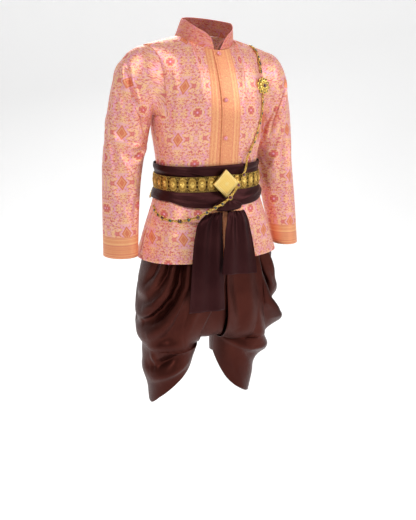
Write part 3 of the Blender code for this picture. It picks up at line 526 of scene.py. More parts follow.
class Finish:
    """A material, its node tree and its Principled shader, whose plain values are set here."""

    def __init__(self, name, **values):
        self.material = bpy.data.materials.new(name)
        self.material.use_nodes = True
        self.tree = self.material.node_tree
        self.shader = self.tree.nodes["Principled BSDF"]
        for socket, value in values.items():
            self.shader.inputs[socket.replace("_", " ")].default_value = value

    def node(self, kind, settings=None, inputs=(), output=0):
        """Adds a node: its settings first, then its sockets' values or links, by order or by name."""
        node = self.tree.nodes.new(kind)
        for key, value in (settings or {}).items():
            setattr(node, key, value)
        for key, value in inputs.items() if isinstance(inputs, dict) else enumerate(inputs):
            if isinstance(value, Signal):
                self.tree.links.new(value.socket, node.inputs[key])
            else:
                node.inputs[key].default_value = value
        return Signal(self, node.outputs[output])

    def mix(self, factor, first, second):
        """A colour between two, each a signal or three numbers."""
        first, second = (c if isinstance(c, Signal) else (*c, 1) for c in (first, second))
        settings = {"data_type": "RGBA"}
        return self.node("ShaderNodeMix", settings, {0: factor, 6: first, 7: second}, output=2)

    def uv(self, title):
        """Both values of a UV map, as signals."""
        place = self.node("ShaderNodeUVMap", {"uv_map": title})
        return tuple(self.node("ShaderNodeSeparateXYZ", None, (place,), output=i) for i in (0, 1))

    def noise(self, place, scale, detail=2.0):
        return self.node("ShaderNodeTexNoise", None, {"Vector": place, "Scale": scale, "Detail": detail})

    def vector(self, x=0.0, y=0.0, z=0.0):
        return self.node("ShaderNodeCombineXYZ", None, (x, y, z))

    def object_place(self):
        return self.node("ShaderNodeTexCoord", output=3)

    def feed(self, socket, signal):
        self.tree.links.new(signal.socket, self.shader.inputs[socket])

    def bump(self, height, distance, strength=1.0):
        """Feeds Normal with a bump of this height signal, which stands for distance metres."""
        names = {"Strength": strength, "Distance": distance, "Height": height}
        self.feed("Normal", self.node("ShaderNodeBump", None, names))


def folded(value, pitch):
    """How far a value is from the middle of its repeat: |fract(value / pitch) - 1/2| * pitch."""
    return ((value / pitch).of("FRACT") - 0.5).of("ABSOLUTE") * pitch


def brocade_finish(name, sizes, deeper=0.0):
    """Figured silk: plain diamonds and rosettes on a ground of small scrolls, with woven borders.

    Every figure is drawn on a repeat that is folded about its two middle lines, as a woven figure
    is, so a noise field read there gives the same mirrored scrolls in each repeat. deeper is how
    far the whole cloth goes towards its coral, as on the collar.
    """
    finish = Finish(name, Roughness=0.42, Metallic=0.35, Specular_IOR_Level=0.35)
    u, v = finish.uv("cloth")
    edge, _ = finish.uv("trim")
    wide, tall = sizes.repeat_width, sizes.repeat_height
    across, up = folded(u, wide), folded(v, tall)
    away, down = wide / 2 - across, tall / 2 - up

    def field(scale, layer, detail=1.5):
        """A noise that repeats, mirrored, in every repeat of the cloth."""
        return finish.noise(finish.vector(across, up, layer), scale, detail)

    def scroll(scale, layer, width):
        """Thin curling lines where a noise field crosses one half."""
        return (field(scale, layer) - 0.5).of("ABSOLUTE").step(width, width * 0.45)

    def stripe(value, middle, outer, inner):
        """1 within inner of the middle and 0 beyond outer, smooth between."""
        return (value - middle).of("ABSOLUTE").step(outer, inner)

    def flecks(stretch, scale, low, high):
        """Noise figures drawn out up the border, where they pass from low to high."""
        return finish.noise(finish.vector(edge, v * stretch), scale, 2.0).step(low, high)

    # the ground and its scrolls, thicker in some clusters than in others
    cluster = field(38, 11.0).step(0.42, 0.58)
    colour = finish.mix(field(62, 3.1).step(0.36, 0.64), sizes.ground, sizes.coral)
    colour = finish.mix(scroll(125, 1.7, 0.115) * (0.90 - 0.45 * cluster), colour, sizes.cream)
    colour = finish.mix(scroll(110, 5.3, 0.120) * (0.16 + 0.60 * cluster), colour, sizes.lilac)
    colour = finish.mix(field(190, 8.9).step(0.54, 0.64) * 0.70, colour, sizes.rose)
    colour = finish.mix(field(210, 6.2).step(0.56, 0.66) * 0.65, colour, sizes.lilac)
    colour = finish.mix(field(165, 9.7).step(0.57, 0.67) * 0.80, colour, sizes.cream)

    # the lattice: a dotted ribbon between one diamond's field and the next
    lattice = across / (wide / 2) + up / (tall / 2)
    dots = ((across - up) * 1700).of("SINE").step(-0.6, 0.3)
    ribbon = ((lattice - 1 + (field(60, 2.2) - 0.5) * 0.9).of("ABSOLUTE")).step(0.115, 0.060)
    patchy = ribbon * (0.12 + 0.40 * dots) * (0.4 + 0.6 * field(110, 4.4).step(0.42, 0.55))
    colour = finish.mix(patchy, colour, sizes.lilac)

    # the plain diamond with its outlines
    size = across / 0.0155 + up / 0.0235
    colour = finish.mix(stripe(size, 1.22, 0.24, 0.12) * (0.25 + 0.5 * dots), colour, sizes.lilac)
    colour = finish.mix(size.step(1.03, 0.95), colour, sizes.ground)
    colour = finish.mix(stripe(size, 0.62, 0.12, 0.06) * 0.45, colour, sizes.cream)

    # the rosette between the diamonds: petals, a pale eye and a wreath
    angle = down.of("ARCTAN2", away)
    radius = (away * away + down * down).of("SQRT")
    petal = radius * (1 + 0.22 * (angle * 8).of("COSINE"))
    wreath = ((radius * (1 + 0.08 * (angle * 16).of("COSINE"))) - 0.0170).of("ABSOLUTE").step(0.0034, 0.0018)
    colour = finish.mix(petal.step(0.0130, 0.0115) * 0.8, colour, sizes.coral)
    colour = finish.mix(petal.step(0.0088, 0.0074) * 0.6, colour, sizes.rose)
    colour = finish.mix(wreath * 0.55, colour, sizes.cream)
    colour = finish.mix(radius.step(0.0036, 0.0024), colour, sizes.lilac)

    # the woven border: gold-orange with upright lines
    line = ((edge * 1500).of("SINE") * 0.5 + 0.5) * 0.30
    border = finish.mix(line, sizes.border, sizes.cream)
    border = finish.mix(flecks(0.6, 330, 0.50, 0.62) * 0.45, border, sizes.coral)
    border = finish.mix(flecks(0.8, 210, 0.56, 0.66) * 0.50, border, sizes.cream)
    bright = stripe(edge, 0.0465, 0.0030, 0.0016) + stripe(edge, 0.0590, 0.0018, 0.0009)
    border = finish.mix(bright * 0.45, border, sizes.cream)
    deep = stripe(edge, 0.0400, 0.0016, 0.0008) + stripe(edge, 0.0660, 0.0016, 0.0008)
    border = finish.mix(deep * 0.3, border, sizes.rose)
    in_border = edge.step(sizes.border_width + 0.0008, sizes.border_width - 0.0008)
    colour = finish.mix(in_border, colour, border)

    # threads: brighter and darker picks, and the sewn line beside a hem
    threads = finish.noise(finish.vector(u * 0.25, v), 900, 1.0)
    colour = finish.mix(threads.step(0.35, 0.65) * 0.16, colour, sizes.thread)
    sewn = stripe(v, 0.0130, 0.0011, 0.0005) + stripe(edge, 0.0060, 0.0011, 0.0005)
    colour = finish.mix(sewn * 0.45, colour, sizes.coral)
    colour = finish.mix(deeper, colour, sizes.coral)
    finish.feed("Base Color", colour)
    weave = (u * 5200).of("SINE") * (v * 5200).of("SINE") * 0.3 + threads
    finish.bump(weave - sewn, 0.00025, 0.5)
    finish.feed("Roughness", 0.36 + threads * 0.16)
    return finish.material


def satin_finish(name, colour, lighter, roughness, slub):
    """Polyester satin: a close, slightly uneven shine and soft small crushing marks."""
    finish = Finish(name, Roughness=roughness, Metallic=0.80, Specular_IOR_Level=0.12)
    u, v = finish.uv("cloth")
    spot = finish.object_place()
    cloudy = finish.noise(spot, 7.0, 3.0)
    finish.feed("Base Color", finish.mix(cloudy.step(0.35, 0.68), colour, lighter))
    twill = ((u + v) * 3600).of("SINE") * 0.25
    threads = finish.noise(finish.vector(u * 0.12, v), 700, 1.0)
    crush = finish.noise(spot, 34, 2.0)
    finish.feed("Roughness", roughness - 0.05 + 0.10 * crush)
    finish.bump(twill + threads * 0.6 + crush * slub, 0.00035, 0.45)
    return finish.material


def gold_finish(name, bright, hollow, roughness):
    """Gilt metal: darker and duller in its hollows, which the map relief tells by height; the darker colour
    there is patina with painted shade.
    """
    finish = Finish(name, Metallic=1.0, Roughness=roughness)
    relief, _ = finish.uv("relief")
    spot = finish.object_place()
    worn = finish.noise(spot, 160, 3.0)
    height = relief + (worn - 0.5) * 0.5
    # painted shade with patina: the base colour falls to the hollow colour where the relief is low
    finish.feed("Base Color", finish.mix(height.step(0.10, 0.62), hollow, bright))
    finish.feed("Roughness", roughness + 0.22 - height.step(0.0, 0.9) * 0.22)
    finish.bump(finish.noise(spot, 900, 2.0), 0.0002, 0.35)
    return finish.material


def wire_finish(name, bright, hollow):
    """Gilt wire: the same metal where there is no relief, mottled with wear."""
    finish = Finish(name, Metallic=1.0, Roughness=0.28)
    worn = finish.noise(finish.object_place(), 240, 3.0)
    finish.feed("Base Color", finish.mix(worn.step(0.30, 0.62), hollow, bright))
    finish.feed("Roughness", 0.22 + worn * 0.2)
    return finish.material


def stone_finish(name, colour, depth):
    """Cut glass: deep colour, lighter in patches, under a clear polish."""
    finish = Finish(name, Roughness=0.08, Coat_Weight=1.0, Coat_Roughness=0.03, IOR=1.6)
    cloudy = finish.noise(finish.object_place(), 420, 1.0)
    finish.feed("Base Color", finish.mix(cloudy.step(0.35, 0.7), depth, colour))
    return finish.material


# ---- Jacket --------------------------------------------------------------------------------------
def share_turn(share):
    """The ring's turn at a share of the chest: 0 is the centre and 1 the armhole's corner."""
    side = np.minimum(np.abs(share), 1) * ARMHOLE_X / JACKET[-1].half
    return np.sign(share) * np.arcsin(side ** (RING_POWER / 2)) / (2 * np.pi)


def top_edge(share, back):
    """Where a column of the chest or back ends: on the neckline's ellipse, or on the shoulder seam."""
    x = np.abs(share) * SHOULDER[0]
    inside = np.sqrt(np.clip(1 - (x / NECK_HALF) ** 2, 0, 1))
    beyond = np.clip((x - NECK_HALF) / (SHOULDER[0] - NECK_HALF), 0, 1)
    middle_z, way = (NECK_BACK_Z, 1) if back else (NECK_FRONT_Z, -1)
    y = NECK_Y + way * NECK_DEPTH * inside + (SHOULDER[1] - NECK_Y) * beyond
    z = NECK_SIDE_Z + (middle_z - NECK_SIDE_Z) * inside**1.5 + (SHOULDER[2] - NECK_SIDE_Z) * beyond**1.15
    return x, y, z


def yoke(share, rise, back):
    """A point of the chest or back above the underarm.

    From the ring at the underarm, rise 0, to the neckline or shoulder seam, rise 1. A column to the
    neckline leans in by a power of rise; one to the shoulder is a quarter of a squared ellipse.
    """
    share, rise = np.broadcast_arrays(np.asarray(share, float), np.asarray(rise, float))
    turn = share_turn(np.abs(share))
    base = ring(JACKET, 0.5 - turn if back else turn, ARMPIT_Z)
    top_x, top_y, top_z = top_edge(share, back)
    ridge = np.clip(np.abs(share) / NECK_SHARE, 0, 1) ** 3
    angle, square = rise * np.pi / 2, 2.5 if back else 2.2
    inward = (1 - ridge) * rise ** (3.0 if back else 1.8) + ridge * (1 - np.cos(angle) ** (2 / square))
    upward = (1 - ridge) * rise + ridge * np.sin(angle) ** (2 / square)
    hollow = 0.006 * np.sin(np.pi * rise) * np.abs(share) ** 4
    x = base[..., 0] + (top_x - base[..., 0]) * rise**2 - hollow
    y = base[..., 1] + (top_y - base[..., 1]) * inward + (1 if back else -1) * 0.0002 * rise**4
    z = ARMPIT_Z + (top_z - ARMPIT_Z - TILT * share) * upward
    return np.stack([np.where(share < 0, -x, x), y, z], axis=-1)


def jacket_y(x, z, back=False):
    """The y of the jacket's cloth at an x and a z, above the underarm or below it."""
    share, rise = np.meshgrid(np.linspace(-1, 1, 241), np.linspace(0, 1, 161))
    above = yoke(share, rise, back).reshape(-1, 3)
    turn, level = np.meshgrid(np.linspace(-0.25, 0.25, 241), np.linspace(HEM_Z, ARMPIT_Z, 241))
    below = ring(JACKET, 0.5 - turn if back else turn, level).reshape(-1, 3)
    points = np.concatenate([above, below])
    near = np.exp(-((points[:, 0] - x) ** 2 + (points[:, 2] - z) ** 2) / 0.0025**2)
    return (near * points[:, 1]).sum() / near.sum()


def on_jacket(x, z, off, back=False):
    """A place on the jacket moved out along the cloth's normal, and that normal."""
    step = 0.004
    slope_x = (jacket_y(x + step, z, back) - jacket_y(x - step, z, back)) / (2 * step)
    slope_z = (jacket_y(x, z + step, back) - jacket_y(x, z - step, back)) / (2 * step)
    normal = np.array([-slope_x, 1, -slope_z]) * (1 if back else -1)
    normal /= np.linalg.norm(normal)
    return np.array([x, jacket_y(x, z, back), z]) + normal * (CLOTH + off), normal


SKIRT_ROWS, YOKE_ROWS = 104, 56


def panel(shares, back, depth, lap=0.0):
    """A jacket panel's grid from the hem up, the cells that are cloth, and its folds pushed in.

    Columns to share 1 run up over the chest; those past it stop at the armpit. The folds are told
    by the way round the body and the height, and fade under the sash and at the shoulder seam.
    """
    past = np.clip(np.abs(shares) - 1, 0, 1)
    turn = share_turn(shares) + np.sign(shares) * past * (0.25 - 0.0001 - share_turn(1.0))
    levels = np.linspace(HEM_Z, ARMPIT_Z, SKIRT_ROWS)[:, None]
    lower = ring(JACKET, 0.5 - turn if back else turn, levels)
    rises = np.sin(np.linspace(0, 1, YOKE_ROWS + 1)[1:, None] * np.pi / 2) ** 0.9
    upper = yoke(np.clip(shares, -1, 1), rises, back)
    grid = np.concatenate([lower, upper])
    around = np.where(back, np.sign(shares + 1e-9) * 0.5 - turn, turn) * GIRTH
    height = folds_at(JACKET_FOLDS, np.broadcast_to(around, grid.shape[:2]), grid[..., 2]) * depth
    z = grid[..., 2]
    under_sash = step_between(z, LOWER_Z - 0.03, LOWER_Z) * step_between(z, UPPER_Z + 0.02, UPPER_Z)
    rise = np.concatenate([levels * 0, rises])
    centre = step_between(np.abs(grid[..., 0]), 0.010, 0.050)
    by_armhole = step_between(np.abs(shares), 0.78, 0.97) * step_between(rise, 0.0, 0.10)
    height = height * (1 - under_sash) * (1 - rise**6) * (1 - by_armhole) * (centre if not back else 1)
    way = 1 if shares[-1] > shares[0] else -1
    grid = grid + normals_of(grid) * height[..., None] * (way if not back else -way)
    grid[..., 1] -= lap * (1 - step_between(grid[..., 0], 0.034, 0.058))
    keep = np.ones((len(grid) - 1, len(shares) - 1), bool)
    keep[SKIRT_ROWS - 1 :, np.abs((shares[:-1] + shares[1:]) / 2) > 1] = False
    return grid, keep


def half_shares():
    """The columns of half a panel: closer at the neck's corner, then across to the side seam."""
    neck = NECK_SHARE * np.sin(np.linspace(0, np.pi / 2, 30)[1:])
    return np.concatenate([neck, np.linspace(NECK_SHARE, 1, 34)[1:], np.linspace(1, 2, 9)[1:]])


def make_jacket(finish, sizes):
    """The right front, the left front lapped over it, and the back."""
    for side, way, past_centre, lap in (("right", -1, UNDERLAP_X, 0.0), ("left", 1, WRAP_X, LAP)):
        edge = np.linspace(-past_centre / ARMHOLE_X, 0, 7)[:-1]
        shares = way * np.concatenate([edge, [0.0], half_shares()])
        grid, keep = panel(shares, False, sizes.fold_depth, lap)
        across, up = lengths(grid, 1), lengths(grid, 0)
        obj = cloth(f"jacket_front_{side}_cloth", grid, finish, CLOTH, keep=keep, flip=way < 0,
                    uv=np.stack([across, up], axis=-1), trim=across)
        place(obj, "brocade", f"jacket_front_{side}")
    half = half_shares()
    shares = np.concatenate([-half[::-1], [0.0], half])
    grid, keep = panel(shares, True, sizes.fold_depth)
    across = lengths(grid, 1)
    across = across - across[:, len(half) : len(half) + 1]
    obj = cloth("jacket_back_cloth", grid, finish, CLOTH, keep=keep, flip=True,
                uv=np.stack([across, lengths(grid, 0)], axis=-1))
    place(obj, "brocade", "jacket_back")


def armhole(around, side):
    """An armhole's edge, once round from the shoulder tip by the front and the underarm.

    side is 1 for the left armhole and -1 for the right one, which is given as its mirror image.
    """
    front = around <= 0.5
    way = np.where(front, around, 1 - around)
    rise = np.clip(1 - way / UNDERARM, 0, 1)
    chest = np.where(front[..., None], yoke(side, rise, False), yoke(side, rise, True)) * (side, 1, 1)
    corner = share_turn(1.0)
    turn = corner + (0.25 - corner) * np.clip((way - UNDERARM) / (0.5 - UNDERARM), 0, 1)
    under = ring(JACKET, np.where(front, turn, 0.5 - turn), ARMPIT_Z)
    return np.where((way <= UNDERARM)[..., None], chest, under)


def sleeve_surface(around, down):
    """The left sleeve: ovals whose outer and inner points follow the table, turned by its turn."""
    key = np.linspace(0, 1, len(SLEEVE))
    row = namedtuple("Row", ("key", *Cuff._fields))
    rows = [row(k, *r) for k, r in zip(key, SLEEVE)]
    outer = np.stack([column(rows, "key", f, down) for f in ("outer_x", "outer_z")], axis=-1)
    inner = np.stack([column(rows, "key", f, down) for f in ("inner_x", "inner_z")], axis=-1)
    turn = np.radians(column(rows, "key", "turn", down))
    depth, y = column(rows, "key", "depth", down), column(rows, "key", "y", down)
    angle = 2 * np.pi * around
    size = np.linalg.norm(outer - inner, axis=-1) / 2
    across, fore = size * np.cos(angle), depth * np.sin(angle)
    across, fore = across * np.cos(turn) - fore * np.sin(turn), across * np.sin(turn) + fore * np.cos(turn)
    middle, lean = (outer + inner) / 2, (outer - inner) / (2 * size[..., None])
    x = middle[..., 0] + lean[..., 0] * across
    z = middle[..., 1] + lean[..., 1] * across
    return np.stack(np.broadcast_arrays(x, y - fore, z), axis=-1)


def make_sleeves(finish, sizes):
    """Both sleeves: the first ring follows the armhole, the last is the cuff with its woven border."""
    around = np.arange(112) / 112
    down = np.linspace(0, 1, 150)[:, None]
    for name, side in (("right", -1), ("left", 1)):
        grid = sleeve_surface(around, down) - (0, 0, side * TILT)
        edge = armhole(around, side) - (0.0035, 0, 0)
        grid += np.exp(-((down / 0.055) ** 2))[..., None] * (edge - grid[0])
        height = folds_at(SLEEVE_FOLDS[name], np.broadcast_to(around, grid.shape[:2]), down, 2.2, period=1.0)
        ease = step_between(down, 0.0, 0.06) * (1 - 0.7 * step_between(down, 0.86, 0.97))
        grid = grid + normals_of(grid, closed=True) * (height * ease * sizes.fold_depth)[..., None]
        flat = np.concatenate([grid, grid[:, :1]], axis=1)
        along = lengths(flat, 0)
        round_way = np.linspace(0, 1, flat.shape[1]) * np.linspace(0.44, 0.33, len(flat))[:, None]
        uv = np.stack([round_way, along[-1:] - along], axis=-1)
        if side < 0:
            grid = grid * (-1, 1, 1)
        obj = cloth(f"sleeve_{name}_cloth", grid, finish, CLOTH, closed=True, flip=side < 0, uv=uv,
                    trim=along[-1:] - along)
        place(obj, "brocade", f"sleeve_{name}")


def make_collar(finish):
    """A stand collar on the neckline's ellipse, leaning forward, open and rounded at the throat."""
    narrower, shallower, forward = COLLAR_LEAN
    share = np.linspace(0, 1, 14)[:, None]
    throat = 0.018 + 0.030 * share**1.5
    turn = throat + (1 - 2 * throat) * np.linspace(0, 1, 150)
    angle = 2 * np.pi * turn
    pairs = zip(top_edge(NECK_SHARE * np.sin(angle), True), top_edge(NECK_SHARE * np.sin(angle), False))
    _, foot_y, foot_z = (np.where(np.cos(angle) < 0, b, f) for b, f in pairs)
    near = np.minimum(turn, 1 - turn) - throat
    tall = COLLAR_FRONT + (COLLAR_BACK - COLLAR_FRONT) * step_between(near, 0, 0.3)
    tall = tall - 0.012 * (1 - np.clip(near / 0.05, 0, 1)) ** 2
    x = (NECK_HALF - 0.001 - narrower * share) * np.sin(angle)
    y = foot_y + (forward * share + (shallower * share + 0.001) * np.cos(angle))
    z = foot_z - TILT * NECK_SHARE * np.sin(angle) + 0.0008 + share * (tall + 0.0032)
    ripple = 0.0009 * np.sin(angle * 7 + 3 * share) * np.sin(np.pi * share)
    grid = np.stack([x + ripple * np.sin(angle), y - ripple * np.cos(angle), z], axis=-1)
    edge = 0.02 + lengths(grid[::-1], 0)[::-1]
    uv = np.stack([lengths(grid, 1), edge], axis=-1)
    obj = cloth("collar_cloth", grid, finish, 0.0018, uv=uv)
    rim = obj.modifiers.new("rolled edge", "BEVEL")
    rim.width, rim.segments = 0.0006, 2
    place(obj, "brocade", "collar")


def make_buttons(finish, levels):
    """Covered buttons: a domed disc of cloth drawn in behind, each on its short shank."""
    radius, high = 0.0068, 0.0044
    bow = np.linspace(0, np.pi / 2, 9)
    dome = [(radius * np.cos(a), high * np.sin(a)) for a in bow[:-1]]
    shank = [(0.0, -0.0030), (0.0026, -0.0030), (0.0030, -0.0014)]
    profile = [*shank, (radius * 0.86, -0.0013), *dome, (0.0, high)]
    for name, z in levels.items():
        y = jacket_y(0.0, z)
        slope = (jacket_y(0.0, z + 0.004) - jacket_y(0.0, z - 0.004)) / 0.008
        normal = np.array([0.0, -1.0, slope])
        spot = np.array([0.002, y - LAP - CLOTH - 0.0030, z])
        frames = [(spot, axes_of(normal, (1, 0, 0)))]
        obj = stamped(f"button_{name}_covered", lathe(profile, 36), frames, finish)
        place(obj, "brocade", f"button_{name}")


def button_finish(name, sizes):
    """The jacket's silk over a button: a woven figure small enough to read on the dome."""
    finish = Finish(name, Roughness=0.45, Sheen_Weight=0.2)
    spot = finish.object_place()
    figure = finish.noise(spot, 420, 2.0)
    colour = finish.mix(figure.step(0.45, 0.58), sizes.ground, sizes.lilac)
    finish.feed("Base Color", finish.mix(figure.step(0.40, 0.34), colour, sizes.coral))
    finish.bump(finish.noise(spot, 1500, 1.0), 0.0002, 0.5)
    return finish.material


# ---- Trousers ------------------------------------------------------------------------------------
# Creases on a leg: each point's turn and z, width in shares of the way round, height.
LEG_FOLDS = {
    "right": [
        # the deep tuck that sweeps from the waist round to the outside, and the rolls beside it
        Fold([(0.209, -0.640), (0.211, -0.753), (0.249, -0.805), (0.311, -0.847),
              (0.389, -0.876), (0.470, -0.892)], 0.022, -0.0340),
        Fold([(0.165, -0.640), (0.170, -0.761), (0.195, -0.815), (0.246, -0.868),
              (0.304, -0.902), (0.400, -0.932)], 0.030, 0.0130),
        Fold([(0.250, -0.650), (0.262, -0.735), (0.305, -0.785), (0.370, -0.822),
              (0.450, -0.842)], 0.020, 0.0120),
        Fold([(0.280, -0.650), (0.300, -0.720), (0.345, -0.765), (0.410, -0.795)], 0.018, -0.0130),
        Fold([(0.310, -0.650), (0.340, -0.715), (0.390, -0.755)], 0.018, 0.0100),
        Fold([(0.370, -0.650), (0.410, -0.720), (0.470, -0.760)], 0.020, -0.0120),
        Fold([(0.120, -0.640), (0.110, -0.760), (0.130, -0.880)], 0.020, -0.0080),
        Fold([(0.070, -0.640), (0.060, -0.780), (0.075, -0.900)], 0.022, 0.0060),
        # the pocket under the lowest roll, its two lips and the crease in it
        Fold([(0.200, -0.955), (0.320, -0.962), (0.470, -0.985)], 0.026, 0.0100),
        Fold([(0.235, -1.000), (0.330, -1.020), (0.450, -1.048)], 0.034, -0.0270),
        Fold([(0.190, -1.035), (0.330, -1.070), (0.450, -1.100)], 0.020, 0.0070),
        Fold([(0.440, -1.000), (0.400, -1.060)], 0.014, 0.0060),
        # behind
        Fold([(0.790, -0.640), (0.785, -0.750), (0.745, -0.805), (0.680, -0.850),
              (0.590, -0.880)], 0.026, -0.0260),
        Fold([(0.835, -0.640), (0.830, -0.765), (0.800, -0.820), (0.745, -0.870),
              (0.640, -0.915)], 0.030, 0.0120),
        Fold([(0.750, -0.650), (0.735, -0.735), (0.690, -0.785), (0.610, -0.825)], 0.020, 0.0110),
        Fold([(0.710, -0.650), (0.690, -0.720), (0.640, -0.765), (0.570, -0.790)], 0.018, -0.0110),
        Fold([(0.900, -0.640), (0.910, -0.760), (0.880, -0.890)], 0.022, 0.0060),
        Fold([(0.790, -0.990), (0.680, -1.015), (0.570, -1.045)], 0.034, -0.0140),
    ],
    "left": [
        # the lip that runs from the waist down and out, with the dark hollow outside it
        Fold([(0.160, -0.640), (0.168, -0.716), (0.191, -0.782), (0.232, -0.851),
              (0.324, -0.914), (0.430, -0.948)], 0.022, 0.0150),
        Fold([(0.205, -0.640), (0.222, -0.740), (0.262, -0.820), (0.345, -0.882),
              (0.460, -0.915)], 0.026, -0.0350),
        Fold([(0.265, -0.650), (0.300, -0.740), (0.360, -0.810), (0.450, -0.850)], 0.022, 0.0120),
        Fold([(0.320, -0.650), (0.360, -0.730), (0.440, -0.790)], 0.020, -0.0130),
        Fold([(0.375, -0.650), (0.420, -0.710), (0.480, -0.745)], 0.020, 0.0090),
        Fold([(0.030, -0.700), (0.040, -0.800), (0.060, -0.930)], 0.030, -0.0180),
        Fold([(0.095, -0.680), (0.100, -0.820), (0.130, -0.960)], 0.034, 0.0050),
        # slack above the knee
        Fold([(0.080, -0.985), (0.170, -1.008), (0.260, -1.030), (0.360, -1.028)], 0.018, 0.0070),
        Fold([(0.100, -0.965), (0.190, -0.985), (0.300, -0.998)], 0.020, -0.0060),
        Fold([(0.230, -1.045), (0.310, -1.062), (0.420, -1.085)], 0.022, -0.0100),
        Fold([(0.140, -1.040), (0.200, -1.120), (0.270, -1.180)], 0.026, 0.0040),
        # behind
        Fold([(0.790, -0.640), (0.780, -0.750), (0.740, -0.805), (0.670, -0.855),
              (0.580, -0.885)], 0.026, -0.0260),
        Fold([(0.835, -0.640), (0.830, -0.765), (0.800, -0.820), (0.745, -0.875),
              (0.640, -0.920)], 0.030, 0.0120),
        Fold([(0.745, -0.650), (0.725, -0.735), (0.680, -0.790), (0.600, -0.830)], 0.020, 0.0110),
        Fold([(0.905, -0.640), (0.915, -0.760), (0.885, -0.890)], 0.022, 0.0060),
        Fold([(0.780, -1.000), (0.680, -1.020), (0.570, -1.050)], 0.030, -0.0120),
    ],
}


def swag_height(swags, turn, z):
    """Sum of U folds: out * (exp(-gap^2) above the U's line, with a tuck below it), fading at its ends."""
    height = np.zeros(np.broadcast(turn, z).shape)
    for swag in swags:
        across = np.clip(np.abs(turn - 0.5) / swag.span, 0, 1)
        line = swag.low + swag.rise * (1 - np.sqrt(1 - across**2))
        above, below = (z - line) / swag.above, (line - z) / swag.below
        swell = np.exp(-np.where(z > line, above, below) ** 2)
        tuck = 0.45 * np.exp(-((below - 1.7) ** 2))
        height += swag.out * (swell - tuck) * (1 - across**3)
    return height


def leg_surface(side, turn, level, share):
    """One leg's surface at a level above the crotch, or a share of the way from there to the hem.

    Above, it is half of the hips' ring; below, an oval round the leg; between, a squared blend.
    """
    way = -1 if side == "right" else 1
    z = level + (column(HEMS[side], "turn", "z", turn) - level) * share
    angle = np.pi * turn
    hips = ring(HIPS, way * turn / 2, z)
    open_front, open_back = GAPS[side]
    widest = np.where(turn < 0.5, open_front, open_back)
    hips[..., 0] += way * (0.0012 + widest * step_between(-z, 0.72, 0.95)) * np.cos(angle) ** 8
    rows = LEGS[side]
    loop_x = column(rows, "z", "x", z) - way * column(rows, "z", "half", z) * np.cos(2 * angle)
    loop_y = column(rows, "z", "y", z) - column(rows, "z", "depth", z) * np.sin(2 * angle)
    loop = np.stack(np.broadcast_arrays(loop_x, loop_y, z), axis=-1)
    fall = np.clip((z + 0.78) / (CROTCH_Z - 0.010 + 0.78), 0, 1)
    closing = 1 - np.clip(1 - fall**3, 0, 1) ** (1 / 3)
    points = hips + (loop - hips) * closing[..., None]
    out = swag_height(SWAGS[side], turn, z)
    points[..., 0] += way * out * np.sin(angle)
    points[..., 1] -= out * np.cos(angle) * 0.8
    return points


def make_trousers(finish, sizes):
    """Two draped legs, the roll of cloth that passes between them, and the waistband."""
    turn = np.linspace(0.0006, 0.9994, 190)
    top, crotch = WAIST_Z - 0.001, CROTCH_Z - 0.010
    bend = np.sin(np.linspace(0, np.pi / 2, 96)) ** 0.75
    levels = np.concatenate([top + (crotch - top) * bend, np.full(56, crotch)])[:, None]
    shares = np.concatenate([np.zeros(96), np.linspace(0, 1, 57)[1:]])[:, None]
    for side, flip in (("right", False), ("left", True)):
        grid = leg_surface(side, turn, levels, shares)
        height = folds_at(LEG_FOLDS[side], np.broadcast_to(turn, grid.shape[:2]), grid[..., 2], 1.6)
        way = -1 if flip else 1
        grid = grid + normals_of(grid) * (height * sizes.fold_depth * way)[..., None]
        obj = cloth(f"trousers_{side}_cloth", grid, finish, SATIN, flip=flip)
        place(obj, "trouser_satin", f"trousers_{side}")

    # The roll: a squared U from the front waist, under the crotch and up the back, within the hips.
    angle = np.linspace(0, np.pi, 150)[:, None]
    upright = np.abs(np.cos(angle)) ** 0.5
    across = np.linspace(-1, 1, 24)
    x = -0.008 - 0.030 * np.where(angle < np.pi / 2, upright, 0) + across * (0.026 + 0.026 * upright)
    z = WAIST_Z - 0.004 + (CROTCH_Z + 0.014 - WAIST_Z) * np.sin(angle) ** 0.45
    bulge = (1 - (np.abs(x) / column(HIPS, "z", "half", z)) ** RING_POWER) ** (1 / RING_POWER)
    front, back, middle = (column(HIPS, "z", name, z) for name in ("front", "back", "centre"))
    reach = np.where(angle < np.pi / 2, 0.008 - front * bulge + middle, back * bulge - 0.008 + middle)
    crush = 0.0016 * np.sin(across * 5 + 2 * angle) * np.sin(angle)
    y = reach * np.abs(np.cos(angle)) ** 0.36 + crush * np.sign(np.cos(angle))
    grid = np.stack(np.broadcast_arrays(x, y, z - crush), axis=-1)
    obj = cloth("trousers_roll_cloth", grid, finish, SATIN, flip=True)
    place(obj, "trouser_satin", "trousers_roll")

    turn = np.arange(200) / 200
    levels = np.linspace(WAIST_Z, WAIST_Z + WAISTBAND, 10)[:, None]
    grid = ring(HIPS, turn, np.full((10, 1), WAIST_Z))
    grid[..., 2] = levels
    obj = cloth("trousers_waistband_cloth", grid, finish, SATIN, closed=True)
    place(obj, "trouser_satin", "trousers_waistband")


